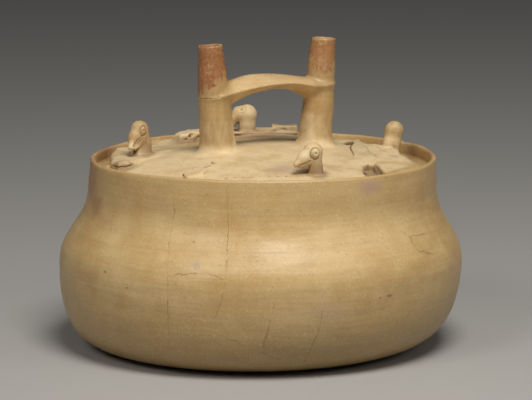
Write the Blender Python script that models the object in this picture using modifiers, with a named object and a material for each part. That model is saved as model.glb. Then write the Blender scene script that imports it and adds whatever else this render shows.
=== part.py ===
"""Double-spout-and-bridge vessel of cream clay, with four small birds perched on its sunken top.

A round squat bowl with a straight collar, a low dome sunk inside the collar, two leaning spouts
joined by a strap, and the birds. It is hollow, and both spouts open into its chamber. The real one
is one fired piece. Here it is parted where the potter luted it, with a hair's gap at each joint:
bowl, sunken_top with the birds, left_spout, right_spout and bridge.

The frame is in metres, +Z up. The origin is the middle of the flat foot, and +X runs along the line
of the two spouts. Places on the top are measured from the rim's own middle, which stands a little
off the foot's, because the bowl was shaped by hand and leans.
"""

import math

import bmesh
import bpy
from mathutils import Matrix, Vector

# Bowl
FOOT_RADIUS = 0.055
BELLY_RADIUS = 0.1005
BELLY_HEIGHT = 0.0436
COLLAR_RADIUS = 0.0870
COLLAR_HEIGHT = 0.0816
RIM_RADIUS = 0.0863
RIM_HEIGHT = 0.0945
FOOT_PULL = 0.0248
UNDER_BELLY_PULL = 0.0430
OVER_BELLY_PULL = 0.0150
UNDER_COLLAR_PULL = 0.0184
LIP_THICKNESS = 0.0024
BOWL_WALL = 0.0042
FLOOR_THICKNESS = 0.0055
BOWL_STEPS = 54

# Lean of the hand-built bowl: how far the rim's middle stands from the foot's
RIM_OFFSET = 0.0059
FOOT_SHARE = 0.55
FOOT_ROLL = 0.008
LEAN_DIRECTION = math.radians(-27.0)

# Sunken top
DOME_HEIGHT = 0.1000
DOME_CURVE = 0.277
DOME_WALL = 0.0042
DOME_RINGS = 9
TROUGH_RADIUS = 0.0795
TROUGH_FILLET = 0.0030

# Luted joints: the gap between two parted pieces, and how far below the dome a foot's cutter reaches
JOINT_GAP = 0.0003
CUTTER_DEPTH = 0.02

# Spouts: foot and tip places along +X from the rim's middle
LEFT_FOOT_X = -0.0252
LEFT_TIP_X = -0.0295
LEFT_TIP_HEIGHT = 0.1518
LEFT_FOOT_RADIUS = 0.0088
LEFT_MID_RADIUS = 0.0082
LEFT_TIP_RADIUS = 0.0060
RIGHT_FOOT_X = 0.0288
RIGHT_TIP_X = 0.0340
RIGHT_TIP_HEIGHT = 0.1524
RIGHT_FOOT_RADIUS = 0.0083
RIGHT_MID_RADIUS = 0.0077
RIGHT_TIP_RADIUS = 0.0057
SPOUT_FLARE = 0.0034
SPOUT_SUNK = 0.0023
SPOUT_TAPER = 1.2
SPOUT_MID_SHARE = 0.42
SPOUT_LIP_ROUNDING = 0.0009
SPOUT_STEPS = 20
LEFT_PLACE = (LEFT_FOOT_X, LEFT_TIP_X, LEFT_TIP_HEIGHT)
LEFT_RADII = (LEFT_FOOT_RADIUS, LEFT_MID_RADIUS, LEFT_TIP_RADIUS)
RIGHT_PLACE = (RIGHT_FOOT_X, RIGHT_TIP_X, RIGHT_TIP_HEIGHT)
RIGHT_RADII = (RIGHT_FOOT_RADIUS, RIGHT_MID_RADIUS, RIGHT_TIP_RADIUS)
TIP_BORE_RADIUS = 0.0041
FOOT_BORE_RADIUS = 0.0061
BORE_STEPS = 16
BORE_OVERRUN = 0.004

# Bridge: a strap, cambered above and nearly flat below, thicker where it wraps round the spouts
BRIDGE_CROWN_HEIGHT = 0.1353
BRIDGE_LEFT_CROWN = 0.1314
BRIDGE_RIGHT_CROWN = 0.1312
BRIDGE_HALF_WIDTH = 0.0088
BRIDGE_RISE = 0.0046
BRIDGE_DROP = 0.0022
BRIDGE_END_RISE = 0.0060
BRIDGE_END_DROP = 0.0050
BRIDGE_PAST_LEFT = 0.0030
BRIDGE_PAST_RIGHT = 0.0034
BRIDGE_END_TAPER = 0.72
BRIDGE_STATIONS = 13
BRIDGE_SIDES = 14

# Birds: the body is a slab that spreads round the neck's foot, on a root that joins it to the dome
SLAB_SQUARENESS = 0.62
SLAB_POINTS = 28
ROOT_SHARE = 0.5
ROOT_SUNK = 0.0013
NECK_FOOT_FLARE = 0.0011
NECK_SUNK = 0.0022
HEAD_BACK_SHARE = 0.95
BEAK_TIP_RADIUS = 0.0009
BIRD_STEPS = 12

# Each bird: azimuth and radius of its neck's foot; its slab's top, thickness and reach outwards,
# inwards, to its left and to its right; its neck's radius; its head's top and radius, how far the
# head hangs outwards and to its left of the neck's foot, its beak, and how it looks round and down
BIRDS = {
    "right": dict(azimuth=-6.8, radius=0.0670, slab_top=0.0955, slab_thickness=0.0030,
                  outward=0.0040, inward=0.0240, left=0.0270, right=0.0430, neck_radius=0.0034,
                  head_top=0.1088, head_radius=0.0039, head_out=0.0038, head_left=-0.0008,
                  beak=0.0125, look=58.0, droop=38.0),
    "back": dict(azimuth=73.0, radius=0.0548, slab_top=0.0988, slab_thickness=0.0022,
                 outward=0.0120, inward=0.0048, left=0.0345, right=0.0275, neck_radius=0.0040,
                 head_top=0.1127, head_radius=0.0048, head_out=0.0, head_left=-0.0003,
                 beak=0.0125, look=163.0, droop=54.0),
    "left": dict(azimuth=149.0, radius=0.0594, slab_top=0.0952, slab_thickness=0.0030,
                 outward=0.0140, inward=0.0070, left=0.0240, right=0.0200, neck_radius=0.0036,
                 head_top=0.1124, head_radius=0.0045, head_out=0.0026, head_left=0.0010,
                 beak=0.0140, look=200.0, droop=38.0),
    "front": dict(azimuth=267.7, radius=0.0605, slab_top=0.0926, slab_thickness=0.0030,
                  outward=0.0130, inward=0.0120, left=0.0260, right=0.0280, neck_radius=0.0033,
                  head_top=0.1108, head_radius=0.0042, head_out=0.0, head_left=-0.0008,
                  beak=0.0135, look=187.0, droop=26.0),
}

# The raised broken end of the back bird's wing: its size outwards, along and up, and its place
BLOCK_SIZE = (0.0050, 0.0125, 0.0038)
BLOCK_OUT = 0.0040
BLOCK_INSET = 0.0022
BLOCK_SUNK = 0.0012

CLAY_COLOUR = (0.56, 0.42, 0.25, 1.0)
CLAY_ROUGHNESS = 0.5


def bezier(start, pull_start, pull_end, end, count):
    """Points of a cubic Bezier arc, without its first point."""
    points = []
    for step in range(1, count + 1):
        t = step / count
        s = 1 - t
        points.append(tuple(
            s ** 3 * a + 3 * s * s * t * b + 3 * s * t * t * c + t ** 3 * d
            for a, b, c, d in zip(start, pull_start, pull_end, end)))
    return points


def lean(height):
    """Where the middle of the bowl is at a height: it rolls over the foot, then leans evenly."""
    roll = FOOT_SHARE * (1 - math.exp(-max(height, 0.0) / FOOT_ROLL))
    away = RIM_OFFSET * (roll + (1 - FOOT_SHARE) * min(height / RIM_HEIGHT, 1.0))
    return Vector((away * math.cos(LEAN_DIRECTION), away * math.sin(LEAN_DIRECTION), 0.0))


def dome_height(radius):
    """The dome is the cap of a parabola."""
    return DOME_HEIGHT - radius * radius / (2 * DOME_CURVE)


def bowl_side(inset):
    """The bowl's side from the collar down to the foot, moved inwards by a wall."""
    side = [(RIM_RADIUS, RIM_HEIGHT - LIP_THICKNESS)]
    collar = (COLLAR_RADIUS, COLLAR_HEIGHT)
    belly = (BELLY_RADIUS, BELLY_HEIGHT)
    foot = (FOOT_RADIUS, 0.0)
    side += bezier(side[0], (RIM_RADIUS, RIM_HEIGHT - 2 * LIP_THICKNESS),
                   (COLLAR_RADIUS, COLLAR_HEIGHT + 2 * LIP_THICKNESS), collar, 3)
    side += bezier(collar, (COLLAR_RADIUS, COLLAR_HEIGHT - UNDER_COLLAR_PULL),
                   (BELLY_RADIUS, BELLY_HEIGHT + OVER_BELLY_PULL), belly, 9)
    side += bezier(belly, (BELLY_RADIUS, BELLY_HEIGHT - UNDER_BELLY_PULL),
                   (FOOT_RADIUS + FOOT_PULL, 0.0), foot, 11)
    if not inset:
        return side
    moved = []
    for index in range(1, len(side) - 1):
        (r0, z0), (r1, z1) = side[index - 1], side[index + 1]
        length = math.hypot(r1 - r0, z1 - z0)
        radius, height = side[index]
        moved.append((radius + inset * (z1 - z0) / length, height - inset * (r1 - r0) / length))
    return moved


def bowl_outline():
    """From the floor up inside the wall to the dome's seat, over the lip and down the outside."""
    inner = RIM_RADIUS - LIP_THICKNESS
    seat = dome_height(inner) - DOME_WALL - JOINT_GAP
    wall = [point for point in bowl_side(BOWL_WALL) if FLOOR_THICKNESS < point[1] < seat][::-2]
    points = [(0.0, FLOOR_THICKNESS), (wall[0][0] - FLOOR_THICKNESS, FLOOR_THICKNESS)] + wall
    points += [(wall[-1][0], seat), (inner, seat)]
    half = LIP_THICKNESS / 2
    for step in range(5):
        angle = math.pi * (1 - step / 4)
        points.append((inner + half + half * math.cos(angle), RIM_HEIGHT - half + half * math.sin(angle)))
    return points + bowl_side(0.0)[1:] + [(0.0, 0.0)]


def dome_side(lift):
    """The dome's upper side from the crown to the trough, raised by a gap."""
    reaches = [TROUGH_RADIUS * step / DOME_RINGS for step in range(DOME_RINGS + 1)]
    return [(reach, dome_height(reach) + lift) for reach in reaches]


def top_outline():
    """The sunken top: a domed disc whose edge turns up in a fillet where it meets the collar."""
    edge = RIM_RADIUS - LIP_THICKNESS - JOINT_GAP
    points = dome_side(0.0)
    bottom = points[-1][1]
    points += bezier(points[-1], (edge - TROUGH_FILLET / 2, bottom - TROUGH_FILLET / 2),
                     (edge, bottom), (edge, bottom + TROUGH_FILLET), 3)
    rings = DOME_RINGS // 2
    under = [edge * step / rings for step in range(rings, -1, -1)]
    return points + [(reach, dome_height(reach) - DOME_WALL) for reach in under]


def cutter_outline():
    """Everything below the dome's upper side and the gap, to shape the feet that stand on it."""
    points = dome_side(JOINT_GAP)
    reach, low = points[-1][0], points[-1][1] - CUTTER_DEPTH
    return points + [(reach, low), (0.0, low)]


def in_collection(name, obj):
    """Put an object in the named collection only."""
    if name not in bpy.data.collections:
        bpy.context.scene.collection.children.link(bpy.data.collections.new(name))
    bpy.data.collections[name].objects.link(obj)
    return obj


def hidden_tool(obj):
    """A shape that is joined to the vessel or cut from it, and isn't a part by itself."""
    in_collection("tools", obj)
    obj.hide_render = True
    obj.display_type = "WIRE"
    return obj


def turned(name, outline, steps):
    """An outline in the XZ plane, turned round Z by a Screw modifier."""
    mesh = bpy.data.meshes.new(name)
    edges = [(index, index + 1) for index in range(len(outline) - 1)]
    mesh.from_pydata([(radius, 0.0, height) for radius, height in outline], edges, [])
    obj = bpy.data.objects.new(name, mesh)
    screw = obj.modifiers.new("turned", "SCREW")
    screw.steps = steps
    screw.render_steps = steps
    screw.use_merge_vertices = True
    screw.merge_threshold = 0.00001
    return obj


def turned_in_tools(name, outline):
    """A shape turned round the bowl's axis, ready to be leaned."""
    return in_collection("tools", turned(name, outline, BOWL_STEPS))


def leaned(obj):
    """The turned object's evaluated mesh with each level moved to where the bowl leans."""
    bpy.context.view_layer.update()
    graph = bpy.context.evaluated_depsgraph_get()
    mesh = bpy.data.meshes.new_from_object(obj.evaluated_get(graph))
    for vertex in mesh.vertices:
        vertex.co += lean(vertex.co.z)
    name = obj.name
    bpy.data.objects.remove(obj)
    return bpy.data.objects.new(name, mesh)


def loft(name, rings):
    """A closed skin over rings of points, with a flat cap at each end."""
    work = bmesh.new()
    rows = [[work.verts.new(point) for point in ring] for ring in rings]
    count = len(rows[0])
    for row, following in zip(rows, rows[1:]):
        for index in range(count):
            other = (index + 1) % count
            work.faces.new((row[index], row[other], following[other], following[index]))
    work.faces.new(rows[0])
    work.faces.new(rows[-1])
    bmesh.ops.recalc_face_normals(work, faces=work.faces)
    mesh = bpy.data.meshes.new(name)
    work.to_mesh(mesh)
    work.free()
    return bpy.data.objects.new(name, mesh)


def combine(target, tool, operation):
    """Join a tool to the target or cut it out, with an exact Boolean."""
    boolean = target.modifiers.new(tool.name, "BOOLEAN")
    boolean.operation = operation
    boolean.solver = "EXACT"
    boolean.object = tool


def stand(obj, parent, place, direction=None):
    """Place an object under its parent, with its own Z along a direction."""
    obj.parent = parent
    turn = direction.to_track_quat("Z", "Y").to_matrix().to_4x4() if direction else Matrix.Identity(4)
    obj.matrix_local = Matrix.Translation(place) @ turn
    return obj


def spout_axis(foot_x, tip_x, tip_height):
    """The foot's place on the dome, the tip's place, and the unit vector between them."""
    foot = Vector((foot_x, 0.0, dome_height(foot_x)))
    tip = Vector((tip_x, 0.0, tip_height))
    return foot, tip, (tip - foot).normalized()


def spout(name, parent, place, foot_radius, mid_radius, tip_radius):
    """A tapering tube's outside, flared where it was luted to the dome, with a rounded lip."""
    foot, tip, axis = spout_axis(*place)
    length = (tip - foot).length
    outline = [(0.0, length), (tip_radius - SPOUT_LIP_ROUNDING, length),
               (tip_radius, length - SPOUT_LIP_ROUNDING)]
    for share in (0.8, 0.6, 0.4, 0.2, 0.0):
        radius = mid_radius + (tip_radius - mid_radius) * share ** SPOUT_TAPER
        outline.append((radius, length * (SPOUT_MID_SHARE + (1 - SPOUT_MID_SHARE) * share)))
    wide = foot_radius + SPOUT_FLARE
    outline += [(foot_radius, SPOUT_FLARE * 1.6), (foot_radius + SPOUT_FLARE * 0.3, SPOUT_FLARE * 0.7),
                (wide, -SPOUT_FLARE * 0.2), (wide, -SPOUT_SUNK), (0.0, -SPOUT_SUNK)]
    return stand(turned(name, outline, SPOUT_STEPS), parent, foot, axis)


def bore(name, parent, place):
    """The hole through a spout, wider at the foot, running out of the tip and into the chamber."""
    foot, tip, axis = spout_axis(*place)
    length = (tip - foot).length
    slope = (FOOT_BORE_RADIUS - TIP_BORE_RADIUS) / length
    low = DOME_WALL + BORE_OVERRUN
    outline = [(0.0, length + BORE_OVERRUN), (TIP_BORE_RADIUS - slope * BORE_OVERRUN, length + BORE_OVERRUN),
               (FOOT_BORE_RADIUS + slope * low, -low), (0.0, -low)]
    return stand(hidden_tool(turned(name, outline, BORE_STEPS)), parent, foot, axis)


def bridge(parent):
    """The strap between the spouts: lens-shaped sections, thicker and lower towards both ends."""
    def x_on_spout(place, height):
        foot_x, tip_x, tip_height = place
        share = (height - dome_height(foot_x)) / (tip_height - dome_height(foot_x))
        return foot_x + share * (tip_x - foot_x)
    start = x_on_spout(LEFT_PLACE, BRIDGE_LEFT_CROWN) - BRIDGE_PAST_LEFT
    end = x_on_spout(RIGHT_PLACE, BRIDGE_RIGHT_CROWN) + BRIDGE_PAST_RIGHT
    rings = []
    for station in range(BRIDGE_STATIONS):
        share = station / (BRIDGE_STATIONS - 1)
        bow = math.sin(math.pi * share)
        flat = BRIDGE_LEFT_CROWN + (BRIDGE_RIGHT_CROWN - BRIDGE_LEFT_CROWN) * share
        sag = BRIDGE_CROWN_HEIGHT - (BRIDGE_LEFT_CROWN + BRIDGE_RIGHT_CROWN) / 2
        crown = flat + sag * bow
        rise = BRIDGE_END_RISE + (BRIDGE_RISE - BRIDGE_END_RISE) * bow
        drop = BRIDGE_END_DROP + (BRIDGE_DROP - BRIDGE_END_DROP) * bow
        taper = BRIDGE_END_TAPER + (1 - BRIDGE_END_TAPER) * min(1.0, 8 * min(share, 1 - share))
        half_width = BRIDGE_HALF_WIDTH * taper
        ring = []
        for side in range(BRIDGE_SIDES):
            angle = 2 * math.pi * side / BRIDGE_SIDES
            up = math.sin(angle)
            ring.append((start + (end - start) * share, half_width * math.cos(angle),
                         crown - rise + (rise if up > 0 else drop) * up))
        rings.append(ring)
    return stand(loft("bridge", rings), parent, Vector())


def slab_outline(outward, inward, left, right):
    """A rounded lozenge with its own reach on each side: x is outwards and y is to the bird's left."""
    points = []
    for step in range(SLAB_POINTS):
        angle = 2 * math.pi * (step + 0.5) / SLAB_POINTS
        c, s = math.cos(angle), math.sin(angle)
        along = (outward if c > 0 else inward) * math.copysign(abs(c) ** SLAB_SQUARENESS, c)
        across = (left if s > 0 else right) * math.copysign(abs(s) ** SLAB_SQUARENESS, s)
        points.append((along, across))
    return points


def bird(name, parent, azimuth, radius, slab_top, slab_thickness, outward, inward, left, right,
         neck_radius, head_top, head_radius, head_out, head_left, beak, look, droop):
    """A bird's slab on its root, neck and head, on the dome at an azimuth round the rim's middle."""
    turn = Matrix.Rotation(math.radians(azimuth), 3, "Z")
    place = turn @ Vector((radius, 0.0, 0.0))
    outline = slab_outline(outward, inward, left, right)
    middle = Vector(((outward - inward) / 2, (left - right) / 2, 0.0))

    def ring(share, level):
        return [place + turn @ (middle + share * (Vector((x, y, 0.0)) - middle)) + Vector((0, 0, level))
                for x, y in outline]

    slab_rings = [ring(0.93, slab_top), ring(1.0, slab_top - slab_thickness * 0.3),
                  ring(0.97, slab_top - slab_thickness)]
    slab = stand(hidden_tool(loft(f"{name}_bird_slab", slab_rings)), parent, Vector())
    root_foot = dome_height(radius + middle.x) - ROOT_SUNK
    root_rings = [ring(ROOT_SHARE, slab_top - slab_thickness / 2), ring(ROOT_SHARE * 1.1, root_foot)]
    root = stand(hidden_tool(loft(f"{name}_bird_root", root_rings)), parent, Vector())

    foot = place + Vector((0.0, 0.0, slab_top))
    centre = place + turn @ Vector((head_out, head_left, 0.0)) + Vector((0, 0, head_top - head_radius))
    length = (centre - foot).length
    wide = neck_radius + NECK_FOOT_FLARE
    neck_outline = [(0.0, length), (neck_radius, length), (neck_radius, length * 0.35),
                    (wide, 0.0), (wide, -NECK_SUNK), (0.0, -NECK_SUNK)]
    neck = hidden_tool(turned(f"{name}_bird_neck", neck_outline, BIRD_STEPS))
    stand(neck, parent, foot, centre - foot)

    back = head_radius * HEAD_BACK_SHARE
    head_outline = [(0.0, beak), (BEAK_TIP_RADIUS, beak - BEAK_TIP_RADIUS / 2)]
    head_outline += [(head_radius * width, beak * along) for width, along in ((0.45, 0.62), (0.78, 0.34),
                                                                             (0.97, 0.12))]
    head_outline += [(head_radius * math.cos(angle), -back * math.sin(angle))
                     for angle in (0.25, 0.75, 1.15)] + [(0.0, -back)]
    round_about, down = math.radians(look), math.radians(droop)
    facing = Vector((math.cos(round_about) * math.cos(down), math.sin(round_about) * math.cos(down),
                     -math.sin(down)))
    head = hidden_tool(turned(f"{name}_bird_head", head_outline, BIRD_STEPS))
    stand(head, parent, centre, facing)
    return [root, slab, neck, head]


def broken_block(parent):
    """The raised broken end of the back bird's wing, a box set along the wing."""
    spec = BIRDS["back"]
    work = bmesh.new()
    bmesh.ops.create_cube(work, size=1.0)
    bmesh.ops.scale(work, vec=BLOCK_SIZE, verts=work.verts)
    mesh = bpy.data.meshes.new("broken_block")
    work.to_mesh(mesh)
    work.free()
    turn = Matrix.Rotation(math.radians(spec["azimuth"]), 4, "Z")
    along = -spec["right"] + BLOCK_SIZE[1] / 2 + BLOCK_INSET
    level = spec["slab_top"] + BLOCK_SIZE[2] / 2 - BLOCK_SUNK
    block = hidden_tool(bpy.data.objects.new("broken_block", mesh))
    block.parent = parent
    block.matrix_local = turn @ Matrix.Translation((spec["radius"] + BLOCK_OUT, along, level))
    return block


def clay_material():
    """Burnished cream clay, as fired."""
    material = bpy.data.materials.new("cream_clay")
    material.use_nodes = True
    shader = material.node_tree.nodes["Principled BSDF"]
    shader.inputs["Base Color"].default_value = CLAY_COLOUR
    shader.inputs["Roughness"].default_value = CLAY_ROUGHNESS
    shader.inputs["Metallic"].default_value = 0.0
    return material


def clay_node(obj, clay):
    """A finished piece: in the vessel's collection, of clay, smooth but for its sharp edges."""
    in_collection("double_spout_vessel", obj)
    obj.data.materials.append(clay)
    obj.data.shade_smooth()
    obj.data.set_sharp_from_angle(angle=math.radians(40))
    return obj


def build():
    """Make the five pieces, each cut or joined by its own tools."""
    for obj in list(bpy.data.objects):
        bpy.data.objects.remove(obj)

    clay = clay_material()
    rim_middle = in_collection("tools", bpy.data.objects.new("rim_middle", None))
    rim_middle.location = lean(RIM_HEIGHT)
    bores = [bore("left_bore", rim_middle, LEFT_PLACE), bore("right_bore", rim_middle, RIGHT_PLACE)]
    under_feet = hidden_tool(leaned(turned_in_tools("under_feet", cutter_outline())))

    clay_node(leaned(turned_in_tools("bowl", bowl_outline())), clay)

    top = clay_node(leaned(turned_in_tools("sunken_top", top_outline())), clay)
    for name, spec in BIRDS.items():
        for tool in bird(name, rim_middle, **spec):
            combine(top, tool, "UNION")
    combine(top, broken_block(rim_middle), "UNION")
    for tool in bores:
        combine(top, tool, "DIFFERENCE")

    strap = clay_node(bridge(rim_middle), clay)
    for name, place, radii, hole in (("left_spout", LEFT_PLACE, LEFT_RADII, bores[0]),
                                     ("right_spout", RIGHT_PLACE, RIGHT_RADII, bores[1])):
        tube = clay_node(spout(name, rim_middle, place, *radii), clay)
        combine(tube, under_feet, "DIFFERENCE")
        combine(tube, hole, "DIFFERENCE")
        room = [radius + JOINT_GAP for radius in radii]
        combine(strap, hidden_tool(spout(f"{name}_room", rim_middle, place, *room)), "DIFFERENCE")


build()
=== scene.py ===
"""Double-spout-and-bridge vessel of burnished cream clay, with small birds on its sunken top.

The looks of the vessel round its fixed frame: one fused piece of clay that stands for the five solids,
and the stage that it is shown on. Lengths are metres, and +Z is up. The top is modelled in the axes of
the side that faces the viewer: X across, Y away, from the rim's own middle. It is turned into the
frame's axes, where +X runs along the two spouts, when its mesh is made.
"""

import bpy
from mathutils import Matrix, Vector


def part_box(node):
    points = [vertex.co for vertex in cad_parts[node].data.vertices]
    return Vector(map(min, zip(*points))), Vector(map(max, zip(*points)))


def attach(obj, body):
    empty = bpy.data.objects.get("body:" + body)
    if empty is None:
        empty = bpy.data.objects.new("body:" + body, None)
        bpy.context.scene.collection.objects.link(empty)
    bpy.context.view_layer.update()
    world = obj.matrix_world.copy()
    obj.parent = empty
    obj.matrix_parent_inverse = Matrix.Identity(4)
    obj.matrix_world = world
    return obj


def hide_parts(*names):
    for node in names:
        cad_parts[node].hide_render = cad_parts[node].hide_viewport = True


bl_info = {
    "name": "Double-spout vessel with birds",
    "version": (1, 0, 0),
    "blender": (4, 5, 0),
    "location": "View3D > Sidebar > Vessel",
    "description": "Hand-modelled double-spout-and-bridge vessel of burnished clay",
    "category": "Add Mesh",
}

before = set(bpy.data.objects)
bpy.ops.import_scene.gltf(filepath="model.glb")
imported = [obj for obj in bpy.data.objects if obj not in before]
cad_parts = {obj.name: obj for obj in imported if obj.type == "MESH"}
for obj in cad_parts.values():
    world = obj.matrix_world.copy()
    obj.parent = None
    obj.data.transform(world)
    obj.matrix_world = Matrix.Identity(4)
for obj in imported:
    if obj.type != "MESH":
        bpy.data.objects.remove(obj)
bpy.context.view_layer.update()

import math
from collections import namedtuple

import bpy
import numpy as np
from bpy.props import FloatProperty, FloatVectorProperty, IntProperty, PointerProperty
from mathutils import Matrix, Vector

MM = 0.001

# Depth where no clay is near, metres
FAR = 1.0

# The viewer's side is turned this far from the spouts' line
FRONT_TURN = math.radians(-27.0)

# Lean of the hand-built bowl: how far the rim's middle stands from the foot's, and which way
RIM_OFFSET = 0.0059
FOOT_SHARE = 0.55
FOOT_ROLL = 0.008

# How far the handles of the bowl's arcs reach: down from the collar, up and down from the belly and
# outwards from the foot
COLLAR_PULL = 0.0184
BELLY_PULL_UP = 0.0150
BELLY_PULL_DOWN = 0.0430
FOOT_PULL = 0.0248

# Uneven wall: depth in millimetres, stretch across and up, wavelength in metres and seed of its waves
WALL_WANDER = ((0.34, 1, 1.5, 0.085, 3), (0.10, 1, 2.5, 0.028, 4), (0.05, 0.5, 3, 0.011, 5))

# Uneven rim: azimuth in front axes, width in degrees and rise in millimetres of each soft swelling
RIM_SWELLINGS = ((-100, 48, 0.9), (-15, 24, 0.2), (28, 24, 0.9), (62, 22, 0.7), (125, 20, 0.6))

# Chips in the lip: azimuth in front axes, and length and depth in millimetres
RIM_CHIPS = ((31.5, 1.5, 0.5), (27.5, 1.1, 0.35), (118, 1.6, 0.4), (203, 1.3, 0.4))

# Spouts in millimetres: foot and tip along the spouts' line, tip height, then radii at foot, middle and
# tip, and how far the tip's plane leans across and away
SPOUTS = (dict(foot=-25.2, tip=-29.5, top=151.5, radii=(8.8, 8.0, 6.0), tip_lean=(0.07, 0.015)),
          dict(foot=28.8, tip=34.0, top=152.2, radii=(8.3, 7.7, 6.05), tip_lean=(-0.04, -0.03)))
SPOUT_MID_SHARE = 0.42
SPOUT_TAPER = 1.2
TIP_ROUNDING = 0.9 * MM
TIP_BORE = 4.1 * MM
FOOT_BORE = 6.1 * MM

# Flares that fade along a spout: how wide and over which length, at its foot and inside its mouth
FOOT_FLARE = (1.6 * MM, 3.2 * MM)
MOUTH_FLARE = (0.5 * MM, 1.0 * MM)

# The strap between the spouts: place along their line, then the height of its crown, of its two edges
# and of its underside, millimetres
STRAP = ((-33, 128.4, 125.0, 117.0), (-24, 131.6, 127.3, 119.0), (-18, 133.7, 128.5, 122.0),
         (-10, 135.4, 130.0, 125.8), (-2, 135.9, 131.0, 127.6), (7, 135.3, 131.4, 128.3),
         (15, 134.2, 131.1, 127.3), (21, 133.1, 130.0, 124.0), (27, 132.6, 128.9, 120.5),
         (38, 132.4, 129.3, 118.5))
STRAP_ENDS = (-25.5, 30.5)
STRAP_MIDDLE = 2.25

# The block of space that the strap can reach, and what makes its lens a true distance and its edge round
STRAP_REACH = 46 * MM
STRAP_LEVELS = (0.116, 0.142)
STEEPNESS = 0.8
STRAP_SWELL = 0.15 * MM

TOP_LEVELS = (0.0795, 0.1545)

# Slabs: the birds' bodies as flat rounded plates in front axes, millimetres
RIGHT_SLAB = ((44.8, 43), (49, 46.5), (52.3, 34), (57, 26.5), (64, 22), (67.6, 13), (69, -5), (72.3, -17),
              (74.8, -26), (77.5, -35), (74.5, -43), (68, -52), (61, -60), (57.6, -46), (54.6, -27),
              (48, -16), (44.2, -2), (43.8, 14), (43.4, 30))
FRONT_SLAB = ((-3, -60), (4, -69), (20, -73), (36, -69), (46, -60), (49, -50), (46, -40), (38, -42),
              (28, -46), (12, -50), (0, -54))
LEFT_SLAB = ((-75.5, -5), (-75.4, -15), (-71.5, -22), (-66, -21), (-61, -13), (-52, -6), (-46, 10),
             (-50, 30), (-65, 37), (-75, 26), (-77, 10))
BACK_SLAB = ((17.5, 51), (17.8, 64), (8, 67), (-6, 68), (-22, 67), (-34, 63), (-40, 56), (-38, 48.5),
             (-24, 49), (-10, 49.5), (4, 49.7), (12, 50.3))
BACK_BODY = ((17.0, 52.5), (17.2, 64), (8, 67), (-6, 68), (-22, 67), (-36, 64), (-44, 57), (-40, 50),
             (-24, 50.5), (-10, 51), (4, 51.2), (12, 51.6))
WING_TIP = ((-33, 52), (-38, 56), (-44, 54), (-46, 49), (-43, 45), (-36, 46))
BROKEN_BLOCK = ((4.6, 50.6), (17.6, 51.4), (17.4, 57.5), (4.0, 56.5))
SCAR = ((-38.5, -50), (-36, -46), (-29, -46.5), (-26.5, -51), (-29, -55), (-36, -55.5))
NEAR_VOID = ((48.5, -30), (52, -26.5), (53.8, -28), (57.3, -50), (52.6, -55), (49.1, -45))
FAR_VOID = ((39.5, 35), (45.8, 40), (46.0, 31), (44.4, 26.5))

# How the slabs are laid on, in order: outline, height of the upper side, thickness, rounding of the edge
# and softness of the joint in millimetres, slope across and away, and ripple in millimetres
SLABS = (
    (FRONT_SLAB, 92.6, 3.4, 1.4, 3.0, (-0.02, 0.05), 0.15),
    (RIGHT_SLAB, 95.8, 3.4, 1.1, 1.3, (0.008, 0.022), 0.3),
    (LEFT_SLAB, 94.7, 4.8, 2.0, 2.6, (0.03, 0.0), 0.4),
    (BACK_BODY, 98.6, 7.4, 1.0, 3.5, (0.0, 0.0), 0.15),
    (BACK_SLAB, 99.7, 1.8, 0.85, 0.6, (0.0, 0.0), 0.12),
    (WING_TIP, 99.4, 4.4, 1.6, 2.4, (0.05, 0.0), 0.4),
    (BROKEN_BLOCK, 102.7, 4.2, 0.6, 0.5, (0.0, 0.0), 0.4),
    (SCAR, 94.4, 2.6, 1.1, 1.4, (0.125, 0.18), 0.7),
)
VOIDS = (
    (NEAR_VOID, 101, 10.6, 1.0, 1.3, (0.0, 0.0), 0.5),
    (FAR_VOID, 99, 8.4, 0.6, 0.6, (0.0, 0.0), 0.3),
)

# The roll under the broken block, and crevices cut into the clay: pairs of (x, y, z, radius)
SEAM_ROLL = ((-1.5, 51.4, 98.9, 0.9), (5.5, 51.6, 100.9, 1.5))
CREVICES = (
    ((-36.6, 47.0, 99.0, 0.8), (-41.2, 46.0, 95.4, 0.5)),
    ((-35.6, 46.6, 98.8, 1.0), (-33.6, 47.4, 98.8, 1.0)),
    ((9.4, 50.4, 101.0, 0.9), (11.2, 50.6, 100.6, 1.0)),
)

# Soft rises of the dome: middle and half widths in front axes, and height, millimetres
MOUNDS = (
    ((-51, 58), (15, 14), 5.0),
    ((0, 53), (27, 17), 2.6),
    ((43, 44), (9, 9), 3.4),
    ((24, -48), (20, 12), 0.8),
    ((56, -8), (16, 26), 1.2),
)

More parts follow.
